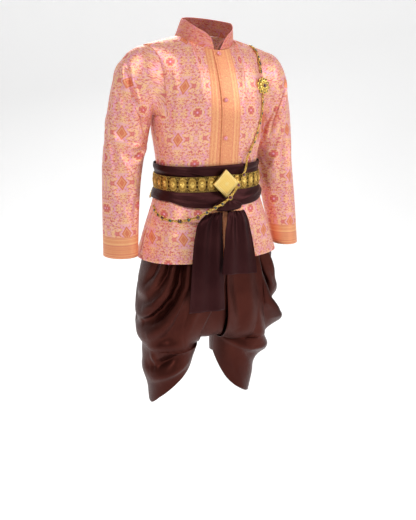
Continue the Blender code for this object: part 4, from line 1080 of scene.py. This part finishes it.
# ---- Sash ----------------------------------------------------------------------------------------
# Crush folds that run round the wraps: each point's s round the body and z, width, height.
WRAP_FOLDS = {
    "upper": [
        Fold([(-0.300, -0.392), (-0.090, -0.404)], 0.0060, 0.0030),
        Fold([(-0.250, -0.408), (-0.040, -0.420)], 0.0050, -0.0022),
        Fold([(-0.150, -0.386), (-0.020, -0.412)], 0.0050, 0.0034),
        Fold([(-0.130, -0.392), (-0.030, -0.424)], 0.0040, -0.0030),
        Fold([(0.030, -0.420), (0.170, -0.398)], 0.0055, 0.0034),
        Fold([(0.050, -0.405), (0.260, -0.390)], 0.0050, -0.0026),
        Fold([(0.120, -0.422), (0.300, -0.412)], 0.0050, 0.0026),
        Fold([(0.330, -0.392), (0.520, -0.402)], 0.0060, 0.0032),
        Fold([(0.380, -0.415), (0.500, -0.408)], 0.0050, -0.0024),
        Fold([(-0.500, -0.400), (-0.340, -0.412)], 0.0060, 0.0030),
        Fold([(-0.480, -0.388), (-0.360, -0.392)], 0.0045, -0.0024),
    ],
    "lower": [
        Fold([(-0.290, -0.452), (-0.060, -0.472)], 0.0060, 0.0026),
        Fold([(-0.260, -0.470), (-0.050, -0.492)], 0.0050, -0.0034),
        Fold([(-0.200, -0.478), (-0.040, -0.500)], 0.0050, 0.0032),
        Fold([(0.040, -0.490), (0.180, -0.462)], 0.0060, 0.0036),
        Fold([(0.050, -0.474), (0.230, -0.452)], 0.0050, -0.0030),
        Fold([(0.130, -0.480), (0.290, -0.474)], 0.0050, 0.0026),
        Fold([(0.320, -0.460), (0.500, -0.470)], 0.0060, 0.0030),
        Fold([(0.360, -0.478), (0.480, -0.482)], 0.0050, -0.0024),
        Fold([(-0.500, -0.456), (-0.330, -0.470)], 0.0060, 0.0030),
        Fold([(-0.470, -0.476), (-0.350, -0.480)], 0.0045, -0.0024),
    ],
}


def make_sash(finish, sizes):
    """The two wraps with their crushed folds, the gathered knot and the two hanging ends."""
    turn = np.arange(300) / 300
    drop = LOWER_Z + (KNOT_Z - LOWER_Z) * step_between(np.cos(2 * np.pi * turn), 0.45, 0.97)
    share = np.linspace(0, 1, 30)[:, None]
    s = np.where(turn < 0.5, turn, turn - 1) * GIRTH
    for name, rows, top, bottom in (
        ("upper", UPPER_WRAP, UPPER_Z, MIDDLE_Z + 0.0004),
        ("lower", LOWER_WRAP, MIDDLE_Z - 0.0004, drop),
    ):
        z = top + (bottom - top) * share
        crush = folds_at(WRAP_FOLDS[name], np.broadcast_to(s, z.shape if z.shape[1] > 1 else (30, 300)), z)
        crush = crush * sizes.sash_folds * np.sin(np.pi * np.clip(share, 0.02, 0.98)) ** 0.4
        grid = ring(JACKET, turn, z, column(rows, "share", "off", share) + crush)
        obj = cloth(f"sash_{name}_cloth", grid, finish, SATIN, closed=True, flip=True)
        place(obj, "sash_satin", f"sash_{name}")

    for end, rows in TAILS.items():
        z = np.interp(np.linspace(0, 1, 90), np.linspace(0, 1, len(rows)), [r.z for r in rows])[:, None]
        across = np.linspace(0, 1, 44)
        inner, outer = column(rows, "z", "inner", z), column(rows, "z", "outer", z)
        fall = np.linspace(0, 1, 90)[:, None]
        gather = np.exp(-((fall / 0.16) ** 2))
        pleat = column(rows, "z", "pleat", z) * np.cos(4 * np.pi * across + 0.6)
        pleat = pleat + gather * 0.0022 * np.cos(13 * np.pi * across) + 0.0012 * np.sin(7 * across + 3 * fall)
        slant = (0.006 if end == "long" else -0.010) * (across - 0.5) * fall
        y = column(rows, "z", "y", z) + pleat
        grid = np.stack(np.broadcast_arrays(inner + (outer - inner) * across, y, z + slant), axis=-1)
        obj = cloth(f"sash_end_{end}_cloth", grid, finish, 0.0016, flip=end == "short")
        place(obj, "sash_satin", f"sash_tail_{end}")
        size = (0.125, 0.32) if end == "long" else (0.122, 0.20)

    # The knot: a flattened ball whose surface is drawn into pleats that meet behind the buckle.
    lat, lon = np.meshgrid(np.linspace(0, np.pi, 44), 2 * np.pi * np.arange(120) / 120, indexing="ij")
    x, y, z = np.sin(lat) * np.cos(lon), -np.sin(lat) * np.sin(lon), np.cos(lat)
    spread = np.arctan2(x, 1.15 - z)
    pleats = 0.10 * np.cos(15 * spread + 0.6 * np.sin(3 * z)) * np.sin(lat) ** 2
    size = 1 + pleats * (0.35 + 0.65 * step_between(-y, 0, 0.6))
    hang = -0.004 * np.abs(x) ** 2
    grid = np.stack([x * 0.050 * (1 + 0.3 * pleats), y * 0.0105 * size, z * 0.0195 * size + hang], axis=-1)
    grid = grid + (0.0, -0.1490, -0.5010)
    rows, columns = grid.shape[:2]
    r, c = np.meshgrid(np.arange(rows - 1), np.arange(columns), indexing="ij")
    here, right = r * columns + c, r * columns + (c + 1) % columns
    faces = np.stack([here, here + columns, right + columns, right], axis=-1).reshape(-1, 4)
    uv = np.stack([lon * 0.03, lat * 0.02], axis=-1).reshape(-1, 2)[faces.ravel()]
    obj = mesh_object("sash_knot_pleats", grid.reshape(-1, 3), faces, finish, {"cloth": uv}, weld=True)
    place(obj, "sash_satin", "sash_knot")


# ---- Belt and buckle -----------------------------------------------------------------------------
def relief_object(name, template_grid, relief, frames, finish, thick, closed):
    """Joined copies of a raised surface on a grid, with its relief height in the UV map relief."""
    rows, columns = template_grid.shape[:2]
    r, c = np.meshgrid(np.arange(rows - 1), np.arange(columns if closed else columns - 1), indexing="ij")
    here, right = r * columns + c, r * columns + (c + 1) % columns
    faces = np.stack([here, right, right + columns, here + columns], axis=-1).reshape(-1, 4)
    points = template_grid.reshape(-1, 3)
    origins = np.array([f[0] for f in frames])
    axes = np.array([f[1] for f in frames])
    copies = np.einsum("fij,pj->fpi", axes, points) + origins[:, None]
    every = (faces[None] + (np.arange(len(frames)) * len(points))[:, None, None]).reshape(-1, 4)
    # this relief height also drives the gilt's painted shade with patina in its low parts
    height = np.tile(relief.ravel(), len(frames))
    pairs = np.stack([height, height * 0], axis=-1)[every.ravel()]
    obj = mesh_object(name, copies.reshape(-1, 3), every, finish, {"relief": pairs}, weld=True)
    return thicken(obj, thick, offset=-1)


def belt_frames(count, z, off, first=0.0):
    """Frames spaced evenly along the belt's line: x along it, y up, z out of the cloth."""
    fine = ring(JACKET, np.linspace(0, 1, 2001), np.full(2001, BELT_Z), off)
    way = lengths(fine[None], 1)[0]
    at = (first + np.arange(count)) * way[-1] / count
    turn = np.interp(at, way, np.linspace(0, 1, 2001))
    spot = ring(JACKET, turn, np.full(count, BELT_Z), off)
    ahead = ring(JACKET, turn + 0.001, np.full(count, BELT_Z), off)
    along = ahead - spot
    along /= np.linalg.norm(along, axis=-1, keepdims=True)
    up = np.array([0.0, 0.0, 1.0])
    outward = np.cross(along, up)
    spot[:, 2] = z
    return [(p, np.stack([a, up, o], axis=-1)) for p, a, o in zip(spot, along, outward)]


def make_belt(gold, wire, sizes):
    """Flower plaques side by side, joined by rings, between two edges of small loops."""
    count = sizes.plaques
    r, t = np.meshgrid(np.linspace(0, 1, 12), 2 * np.pi * np.arange(48) / 48, indexing="ij")
    edge = 1 + 0.055 * np.cos(16 * t)
    half, tall = 0.0122, 0.0205
    x = half * r * edge * power(np.cos(t), 0.82)
    y = tall * r * edge * power(np.sin(t), 0.82)
    flower = np.clip(np.hypot(x / 0.0095, y / 0.0120), 0, 1)
    petals = (0.5 + 0.5 * np.cos(8 * t)) * np.sin(np.pi * flower) ** 1.2
    rim = np.exp(-(((r - 0.86) / 0.07) ** 2))
    beads = rim * (0.6 + 0.4 * np.cos(28 * t))
    boss = np.exp(-((flower / 0.28) ** 2))
    relief = np.clip(0.62 * petals + 0.80 * boss + 0.62 * beads, 0, 1)
    grid = np.stack([x, y, 0.0012 + 0.0034 * relief - 0.0012 * r**8], axis=-1)
    frames = belt_frames(count, BELT_Z, BELT_OFF, first=0.5)
    obj = relief_object("belt_plaques", grid, relief, frames, gold, 0.0012, True)
    place(obj, "gold", "belt")

    rings = []
    for level in (-0.0135, 0.0, 0.0135):
        rings += belt_frames(count, BELT_Z + level, BELT_OFF + 0.0012)
    place(stamped("belt_joint_rings", loop_link(0.0036, 0.0026, 0.0007), rings, wire), "gold")
    loops = []
    for way in (-1, 1):
        loops += belt_frames(count * 5, BELT_Z + way * 0.0212, BELT_OFF + 0.0010)
    small_loop = loop_link(0.0030, 0.0024, 0.00055, steps=10, sides=4)
    place(stamped("belt_edge_loops", small_loop, loops, wire), "gold")
    beads = []
    for way in (-1, 1):
        beads += belt_frames(count * 5, BELT_Z + way * 0.0212, BELT_OFF + 0.0012, first=0.5)
    grain = lathe([(0, -0.0011), (0.0009, -0.0006), (0.0011, 0.0002), (0.0007, 0.0010), (0, 0.0012)], 7)
    place(stamped("belt_edge_beads", grain, beads, wire), "gold")


def make_buckle(gold):
    """A square plate stood on its corner: stepped ribs round a field of small lozenges and a flower."""
    a, b = np.meshgrid(np.linspace(-1, 1, 131), np.linspace(-1, 1, 131), indexing="ij")
    a, b = a.T, b.T
    side = np.maximum(np.abs(a), np.abs(b))
    ribs = sum(np.exp(-(((side - level) / 0.022) ** 2)) for level in (0.72, 0.80, 0.885, 0.965))
    lozenge = (0.5 + 0.5 * np.cos(11 * np.pi * a)) * (0.5 + 0.5 * np.cos(11 * np.pi * b))
    lozenge = lozenge * step_between(side, 0.66, 0.60)
    radius, angle = np.hypot(a, b), np.arctan2(b, a)
    flower = (0.55 + 0.45 * np.cos(8 * angle)) * np.exp(-(((radius - 0.17) / 0.075) ** 2))
    inside = step_between(radius, 0.30, 0.26)
    boss = np.exp(-((radius / 0.065) ** 2))
    relief = np.clip(ribs * 0.8 + lozenge * 0.62 * (1 - inside) + flower * 0.9 + boss, 0, 1)
    stepped = 0.0016 * step_between(side, 0.98, 0.90) + 0.0012 * step_between(side, 0.79, 0.75)
    half = BUCKLE_HALF / np.sqrt(2)
    drop = 0.0068 * step_between(side, 0.985, 1.0)
    height = 0.0060 + stepped + relief * 0.0011 - drop
    x, y = half * (a - b) / np.sqrt(2), half * (a + b) / np.sqrt(2)
    grid = np.stack([x, y, height], axis=-1)
    frames = [(np.array([0.0, BUCKLE_Y, BELT_Z]), axes_of((0, -1, 0), (1, 0, 0)))]
    obj = relief_object("buckle_plate", grid, relief, frames, gold, 0.0012, False)
    place(obj, "gold", "buckle")


# ---- Chain and brooch ----------------------------------------------------------------------------
Spot = namedtuple("Spot", "x z off")
CHAIN_SHOULDER = [Spot(0.147, -0.022, 0.004), Spot(0.154, -0.038, 0.004), Spot(0.155, -0.058, 0.004),
                  Spot(0.153, -0.082, 0.004), Spot(0.154, -0.108, 0.004)]
CHAIN_CHEST = [Spot(0.156, -0.172, 0.004), Spot(0.154, -0.197, 0.004), Spot(0.148, -0.224, 0.004),
               Spot(0.141, -0.252, 0.004), Spot(0.132, -0.280, 0.004), Spot(0.121, -0.307, 0.005),
               Spot(0.104, -0.335, 0.005), Spot(0.087, -0.357, 0.010), Spot(0.079, -0.372, 0.015),
               Spot(0.075, -0.391, 0.017), Spot(0.065, -0.415, 0.018), Spot(0.058, -0.428, 0.019)]
CHAIN_BACK = [Spot(-0.168, -0.498, 0.010), Spot(-0.142, -0.482, 0.017), Spot(-0.110, -0.455, 0.018),
              Spot(-0.082, -0.415, 0.018), Spot(-0.060, -0.380, 0.014), Spot(-0.030, -0.335, 0.006),
              Spot(0.012, -0.270, 0.004), Spot(0.060, -0.190, 0.004), Spot(0.105, -0.110, 0.004),
              Spot(0.135, -0.050, 0.004), Spot(0.146, -0.024, 0.004)]
Round = namedtuple("Round", "turn z off")
CHAIN_HIP = [Round(0.034, -0.436, 0.021), Round(0.019, -0.454, 0.027), Round(0.002, -0.474, 0.038),
             Round(-0.010, -0.489, 0.041), Round(-0.027, -0.501, 0.041), Round(-0.045, -0.513, 0.040),
             Round(-0.062, -0.525, 0.037), Round(-0.086, -0.537, 0.022), Round(-0.113, -0.545, 0.008),
             Round(-0.142, -0.546, 0.005), Round(-0.173, -0.543, 0.005), Round(-0.205, -0.535, 0.005),
             Round(-0.233, -0.525, 0.005), Round(-0.252, -0.512, 0.005)]
# Stones on a stretch: the share of its way, the stone's kind and its radius.
Stone = namedtuple("Stone", "share kind radius")
STONES = {
    "shoulder": [Stone(0.05, "green", 0.0034), Stone(0.26, "green", 0.0042), Stone(0.48, "green", 0.0036),
                 Stone(0.72, "red", 0.0050), Stone(0.96, "green", 0.0040)],
    "chest": [Stone(0.07, "dark", 0.0040), Stone(0.20, "green", 0.0034), Stone(0.32, "dark", 0.0038),
              Stone(0.43, "green", 0.0034), Stone(0.54, "dark", 0.0036), Stone(0.67, "red", 0.0040),
              Stone(0.95, "red", 0.0048)],
    "hip": [Stone(0.03, "red", 0.0050), Stone(0.18, "red", 0.0052), Stone(0.27, "dark", 0.0038),
            Stone(0.34, "dark", 0.0038), Stone(0.42, "dark", 0.0040), Stone(0.50, "red", 0.0050),
            Stone(0.58, "green", 0.0042), Stone(0.66, "red", 0.0052), Stone(0.745, "green", 0.0040),
            Stone(0.82, "red", 0.0048), Stone(0.88, "green", 0.0038), Stone(0.95, "dark", 0.0040)],
    "back": [Stone(share, kind, 0.0042) for share, kind in
             zip(np.linspace(0.08, 0.92, 8), "red green dark red green red dark green".split())],
}


def smooth_route(points, normals, step):
    """A smooth curve through a route, a point every step metres, with its normals."""
    key = namedtuple("Key", "way x y z")
    way = lengths(points[None], 1)[0]
    at = np.arange(0, way[-1], step)
    keyed = [[key(w, *p) for w, p in zip(way, table)] for table in (points, normals)]
    route, out = (np.stack([column(k, "way", axis, at) for axis in "xyz"], axis=-1) for k in keyed)
    return route, out / np.linalg.norm(out, axis=-1, keepdims=True)


def chain_routes():
    """Every stretch of the chain as points with the cloth's normals."""
    routes = {}
    for name, spots, back in (("shoulder", CHAIN_SHOULDER, False), ("chest", CHAIN_CHEST, False),
                              ("back", CHAIN_BACK, True)):
        pairs = [on_jacket(s.x, s.z, s.off - 0.0012, back) for s in spots]
        routes[name] = tuple(np.array(v) for v in zip(*pairs))
    spots = np.array([ring(JACKET, p.turn, p.z, CLOTH + p.off - 0.0012) for p in CHAIN_HIP])
    ahead = np.array([ring(JACKET, p.turn + 0.002, p.z, CLOTH + p.off - 0.0012) for p in CHAIN_HIP])
    outward = np.cross(ahead - spots, (0, 0, 1))
    routes["hip"] = (spots, outward / np.linalg.norm(outward, axis=-1, keepdims=True))
    return routes


def make_chain(wire, stones):
    """Each stretch: oval wire links turned edge and flat by turns, and stones in milled cups."""
    pitch = 0.0052
    cup = lathe([(0, -0.55), (0.80, -0.50), (1.12, -0.20), (1.28, 0.18), (1.22, 0.34), (1.00, 0.30),
                 (0.94, 0.10), (0, 0.05)], 14)
    cut = lathe([(0, -0.10), (0.96, 0.12), (0.84, 0.42), (0.52, 0.66), (0, 0.70)], 8)
    gems = {kind: [] for kind in stones}
    cups = []
    for name, (points, normals) in chain_routes().items():
        route, out = smooth_route(points, normals, pitch)
        along = np.gradient(route, axis=0)
        share = np.linspace(0, 1, len(route))
        links = []
        for i in range(len(route)):
            axes = axes_of(out[i], along[i])
            if i % 2:
                axes = np.stack([axes[:, 0], axes[:, 2], -axes[:, 1]], axis=-1)
            if min(abs(share[i] - s.share) * len(route) * pitch for s in STONES[name]) > 0.0045:
                links.append((route[i], axes))
        link = loop_link(0.0045, 0.0030, 0.0013)
        place(stamped(f"chain_{name}_links", link, links, wire), "gold", f"chain_{name}")
        for stone in STONES[name]:
            i = int(round(stone.share * (len(route) - 1)))
            frame_here = (route[i] + out[i] * 0.001, axes_of(out[i], along[i]) * stone.radius * 1.3)
            cups.append(frame_here)
            gems[stone.kind].append(frame_here)
    place(stamped("chain_cups", cup, cups, wire), "gold")
    return gems, cut


def make_brooch(gold, gems, cut):
    """A ten-pointed flower in two tiers, with a stone in each point and a large one in its middle."""
    x, z = 0.155, -0.140
    tip, turn = np.radians(82), np.radians(14)
    normal = np.array([np.sin(tip) * np.sin(turn), -np.sin(tip) * np.cos(turn), np.cos(tip)])
    middle = np.array([x, jacket_y(x, z) - 0.0190, z]) - normal * 0.0030
    axes = axes_of(normal, (0, 0, 1))
    r, t = np.meshgrid(np.linspace(0, 1, 30), 2 * np.pi * np.arange(120) / 120, indexing="ij")
    point = np.abs(np.cos(5 * t))
    edge = 0.0205 + 0.0062 * point**1.4
    petals = (0.35 + 0.65 * point) * np.exp(-(((r - 0.66) / 0.16) ** 2))
    tier = np.exp(-(((r - 0.36) / 0.08) ** 2)) * (0.6 + 0.4 * np.cos(16 * t))
    rim = np.exp(-(((r - 0.95) / 0.045) ** 2)) * 0.55
    relief = np.clip(petals * 0.7 + tier * 0.9 + rim, 0, 1)
    height = 0.0062 * (1 - r**2) + relief * 0.0020 - 0.0026 * step_between(r, 0.96, 1.0)
    grid = np.stack([edge * r * np.cos(t), edge * r * np.sin(t), height], axis=-1)
    obj = relief_object("brooch_flower", grid, relief, [(middle, axes)], gold, 0.0012, True)
    place(obj, "gold", "brooch")
    gems["red"].append((middle + normal * 0.0066, axes * 0.0072))
    for i in range(10):
        angle = np.pi * i / 5
        spot = middle + axes @ np.array([0.0205 * np.cos(angle), 0.0205 * np.sin(angle), 0.0038])
        gems["green" if i % 2 else "dark"].append((spot, axes * 0.0024))
    return gems, cut


# ---- Stage ---------------------------------------------------------------------------------------
def make_stage(sizes):
    """A pale floor that curves up behind, soft lights all round, and the camera."""
    bend = np.linspace(0, np.pi / 2, 24)[1:]
    back = np.concatenate([np.linspace(-6, 2.5, 20), 2.5 + 2.5 * np.sin(bend), [5.0]])
    rise = np.concatenate([np.zeros(20), 2.5 * (1 - np.cos(bend)), [9.0]])
    side = np.linspace(-9, 9, 30)
    lean = np.radians(-27)
    x = side[None] * np.cos(lean) - back[:, None] * np.sin(lean)
    y = side[None] * np.sin(lean) + back[:, None] * np.cos(lean)
    grid = np.stack(np.broadcast_arrays(x, y, sizes.floor_z + rise[:, None]), axis=-1)
    paper = Finish("backdrop_paper", Roughness=0.9, Emission_Color=(1, 1, 1, 1), Emission_Strength=0.30)
    mottle = paper.noise(paper.object_place(), 3.0)
    paper.feed("Base Color", paper.mix(mottle, (0.93, 0.93, 0.93), (0.95, 0.95, 0.95)))
    floor = cloth("floor", grid, paper.material, 0.01)
    floor.modifiers.clear()

    world = bpy.data.worlds.new("studio")
    world.use_nodes = True
    world.node_tree.nodes["Background"].inputs["Color"].default_value = (1, 1, 1, 1)
    world.node_tree.nodes["Background"].inputs["Strength"].default_value = sizes.surround
    bpy.context.scene.world = world
    for name, place_at, size, watts in (
        ("key", (-2.4, -2.0, 2.1), 0.8, sizes.key_watts),
        ("fill", (2.3, -2.3, 1.0), 1.2, sizes.key_watts * 0.75),
        ("back", (0.8, 2.9, 1.8), 2.0, sizes.key_watts * 0.75),
    ):
        light = bpy.data.lights.new(name, "AREA")
        light.shape, light.size, light.energy = "DISK", size, watts
        lamp = bpy.data.objects.new(name, light)
        bpy.context.scene.collection.objects.link(lamp)
        lamp.location = place_at
        aim = np.array([0, 0, -0.6]) - np.array(place_at)
        lamp.rotation_euler = (np.arctan2(np.hypot(aim[0], aim[1]), -aim[2]), 0, np.arctan2(-aim[0], aim[1]))

    data = bpy.data.cameras.new("camera")
    data.sensor_width = 36
    data.lens = sizes.lens
    data.shift_x = 0.0025
    camera = bpy.data.objects.new("camera", data)
    bpy.context.scene.collection.objects.link(camera)
    camera.location = (-1.180, -2.317, 0.0)
    camera.rotation_euler = (np.radians(90 - 15.4), 0, np.radians(-27))
    bpy.context.scene.camera = camera
    bpy.context.scene.view_settings.view_transform = "Standard"


# ---- Settings ------------------------------------------------------------------------------------
def colour_property(name, description, default):
    text = {"name": name, "description": description}
    return FloatVectorProperty(**text, default=default, subtype="COLOR", min=0, max=1)


def length_property(name, description, default):
    text = {"name": name, "description": description}
    return FloatProperty(**text, default=default, subtype="DISTANCE", unit="LENGTH")


class BrocadeSettings(bpy.types.PropertyGroup):
    fold_depth: FloatProperty(name="Fold depth", description="Scale of the jacket's folds", default=1.0)
    repeat_width: length_property("Repeat width", "Width of the woven repeat", 0.112)
    repeat_height: length_property("Repeat height", "Height of the woven repeat", 0.158)
    border_width: length_property("Border width", "Woven border along the front edges and cuffs", 0.068)
    ground: colour_property("Ground", "Orange ground", (0.74, 0.185, 0.085))
    coral: colour_property("Coral", "Coral part of the ground", (0.68, 0.102, 0.080))
    rose: colour_property("Rose", "Deep pink figures", (0.66, 0.085, 0.120))
    lilac: colour_property("Lilac", "Pale lilac-pink figures", (0.90, 0.42, 0.62))
    cream: colour_property("Cream", "Cream-yellow figures", (0.98, 0.60, 0.27))
    border: colour_property("Border", "Gold-orange border", (0.82, 0.285, 0.125))
    thread: colour_property("Thread", "Bright silk thread", (0.95, 0.62, 0.45))


class TrouserSettings(bpy.types.PropertyGroup):
    fold_depth: FloatProperty(name="Fold depth", description="Scale of the small folds", default=1.0)
    colour: colour_property("Colour", "Brown satin", (0.057, 0.0135, 0.0098))
    lighter: colour_property("Lighter", "Its lighter patches", (0.080, 0.0200, 0.0140))


class SashSettings(bpy.types.PropertyGroup):
    sash_folds: FloatProperty(name="Crush folds", description="Scale of the waist's folds", default=1.0)
    colour: colour_property("Colour", "Dark brown satin", (0.034, 0.0090, 0.0098))
    lighter: colour_property("Lighter", "Its lighter patches", (0.050, 0.0145, 0.0150))


class MetalSettings(bpy.types.PropertyGroup):
    plaques: IntProperty(
        name="Plaques", description="Flower plaques round the belt", default=32, min=20, max=44)
    gold: colour_property("Gold", "Yellow gilt", (0.92, 0.64, 0.17))
    # hollow: patina with painted shade in the gilt's hollows; the wire uses it for its worn mottling
    hollow: colour_property("Hollow", "Gilt in the hollows", (0.44, 0.250, 0.055))
    pale: colour_property("Pale gold", "The buckle's paler gilt", (0.90, 0.72, 0.33))


class StageSettings(bpy.types.PropertyGroup):
    floor_z: length_property("Floor", "Height of the floor below the neck", -1.60)
    surround: FloatProperty(name="Surround", description="Strength of the even light", default=0.27)
    key_watts: FloatProperty(name="Key light", description="Watts of the key light", default=71.0)
    lens: FloatProperty(name="Lens", description="Focal length in millimetres", default=800 / 520 * 36)


BUTTON_LEVELS = {"top": -0.040, "upper": -0.177, "lower": -0.294}
MAKERS = {
    "figured_silk": lambda scene: brocade_finish("figured_silk", scene.thai_brocade),
    "collar_silk": lambda scene: brocade_finish("collar_silk", scene.thai_brocade, deeper=0.40),
    "button_silk": lambda scene: button_finish("button_silk", scene.thai_brocade),
    "brown_satin": lambda scene: satin_finish(
        "brown_satin", scene.thai_trousers.colour, scene.thai_trousers.lighter, 0.40, 0.5),
    "dark_satin": lambda scene: satin_finish(
        "dark_satin", scene.thai_sash.colour, scene.thai_sash.lighter, 0.42, 0.8),
    # each gilt darkens towards its second colour in low relief: painted shade with patina
    "gilt": lambda scene: gold_finish("gilt", scene.thai_metal.gold, scene.thai_metal.hollow, 0.26),
    "pale_gilt": lambda scene: gold_finish("pale_gilt", scene.thai_metal.pale, scene.thai_metal.gold, 0.32),
    "gilt_wire": lambda scene: wire_finish("gilt_wire", scene.thai_metal.gold, scene.thai_metal.hollow),
    "red_stone": lambda scene: stone_finish("red_stone", (0.20, 0.006, 0.010), (0.040, 0.001, 0.002)),
    "green_stone": lambda scene: stone_finish("green_stone", (0.010, 0.060, 0.030), (0.002, 0.012, 0.008)),
    "dark_stone": lambda scene: stone_finish("dark_stone", (0.030, 0.008, 0.010), (0.004, 0.002, 0.003)),
}


def finish_for(scene, name):
    """The named finish, made on first use."""
    return bpy.data.materials.get(name) or MAKERS[name](scene)


# ---- Operators -----------------------------------------------------------------------------------
class MakePiece(bpy.types.Operator):
    """Base of the operators that make pieces"""

    bl_idname = "thai_set.make_piece"
    bl_label = "Make piece"

    def build(self, scene):
        raise NotImplementedError("each operator builds its own piece")

    def execute(self, context):
        self.build(context.scene)
        return {"FINISHED"}


class MakeJacket(MakePiece):
    """Make the right front, the left front and the back of the jacket"""

    bl_idname = "thai_set.make_jacket"
    bl_label = "Jacket fronts and back"

    def build(self, scene):
        make_jacket(finish_for(scene, "figured_silk"), scene.thai_brocade)


class MakeSleeves(MakePiece):
    """Make both sleeves with their cuffs"""

    bl_idname = "thai_set.make_sleeves"
    bl_label = "Sleeves"

    def build(self, scene):
        make_sleeves(finish_for(scene, "figured_silk"), scene.thai_brocade)


class MakeCollar(MakePiece):
    """Make the stand collar"""

    bl_idname = "thai_set.make_collar"
    bl_label = "Collar"

    def build(self, scene):
        make_collar(finish_for(scene, "collar_silk"))


class MakeButtons(MakePiece):
    """Make the covered buttons"""

    bl_idname = "thai_set.make_buttons"
    bl_label = "Buttons"

    def build(self, scene):
        make_buttons(finish_for(scene, "button_silk"), BUTTON_LEVELS)


class MakeTrousers(MakePiece):
    """Make the draped trousers: two legs, the roll between them and the waistband"""

    bl_idname = "thai_set.make_trousers"
    bl_label = "Trousers"

    def build(self, scene):
        make_trousers(finish_for(scene, "brown_satin"), scene.thai_trousers)


class MakeSash(MakePiece):
    """Make the sash: its two wraps, the knot and the hanging ends"""

    bl_idname = "thai_set.make_sash"
    bl_label = "Sash"

    def build(self, scene):
        make_sash(finish_for(scene, "dark_satin"), scene.thai_sash)


class MakeBelt(MakePiece):
    """Make the filigree belt and its diamond buckle"""

    bl_idname = "thai_set.make_belt"
    bl_label = "Belt and buckle"

    def build(self, scene):
        make_belt(finish_for(scene, "gilt"), finish_for(scene, "gilt_wire"), scene.thai_metal)
        make_buckle(finish_for(scene, "pale_gilt"))


class MakeChain(MakePiece):
    """Make the body chain with its stones and the brooch"""

    bl_idname = "thai_set.make_chain"
    bl_label = "Chain and brooch"

    def build(self, scene):
        stones = {kind: finish_for(scene, f"{kind}_stone") for kind in ("red", "green", "dark")}
        gems, cut = make_chain(finish_for(scene, "gilt_wire"), stones)
        gems, cut = make_brooch(finish_for(scene, "gilt"), gems, cut)
        for kind, frames in gems.items():
            place(stamped(f"stones_{kind}", cut, frames, stones[kind]), "gold")


class MakeStage(MakePiece):
    """Make the pale floor, the soft lights and the camera"""

    bl_idname = "thai_set.make_stage"
    bl_label = "Stage"

    def build(self, scene):
        make_stage(scene.thai_stage)


class ThaiSetPanel(bpy.types.Panel):
    """The set's sizes and colours, and a button for each group of pieces"""

    bl_idname = "VIEW3D_PT_thai_set"
    bl_label = "Thai formal set"
    bl_space_type = "VIEW_3D"
    bl_region_type = "UI"
    bl_category = "Thai set"

    def draw(self, context):
        for name, operators in GROUPS.items():
            box = self.layout.box()
            group = getattr(context.scene, name)
            for key in group.__annotations__:
                box.prop(group, key)
            for operator in operators:
                box.operator(operator.bl_idname)


GROUPS = {
    "thai_stage": [MakeStage],
    "thai_brocade": [MakeJacket, MakeSleeves, MakeCollar, MakeButtons],
    "thai_trousers": [MakeTrousers],
    "thai_sash": [MakeSash],
    "thai_metal": [MakeBelt, MakeChain],
}
SETTINGS = {
    "thai_stage": StageSettings,
    "thai_brocade": BrocadeSettings,
    "thai_trousers": TrouserSettings,
    "thai_sash": SashSettings,
    "thai_metal": MetalSettings,
}
OPERATORS = [operator for operators in GROUPS.values() for operator in operators]
CLASSES = [*SETTINGS.values(), *OPERATORS, ThaiSetPanel]


def register():
    for cls in CLASSES:
        bpy.utils.register_class(cls)
    for name, settings in SETTINGS.items():
        setattr(bpy.types.Scene, name, PointerProperty(type=settings))


def unregister():
    for name in SETTINGS:
        delattr(bpy.types.Scene, name)
    for cls in reversed(CLASSES):
        bpy.utils.unregister_class(cls)


def main():
    register()
    for operator in OPERATORS:
        group, action = operator.bl_idname.split(".")
        getattr(getattr(bpy.ops, group), action)()


if __name__ == "__main__":
    main()
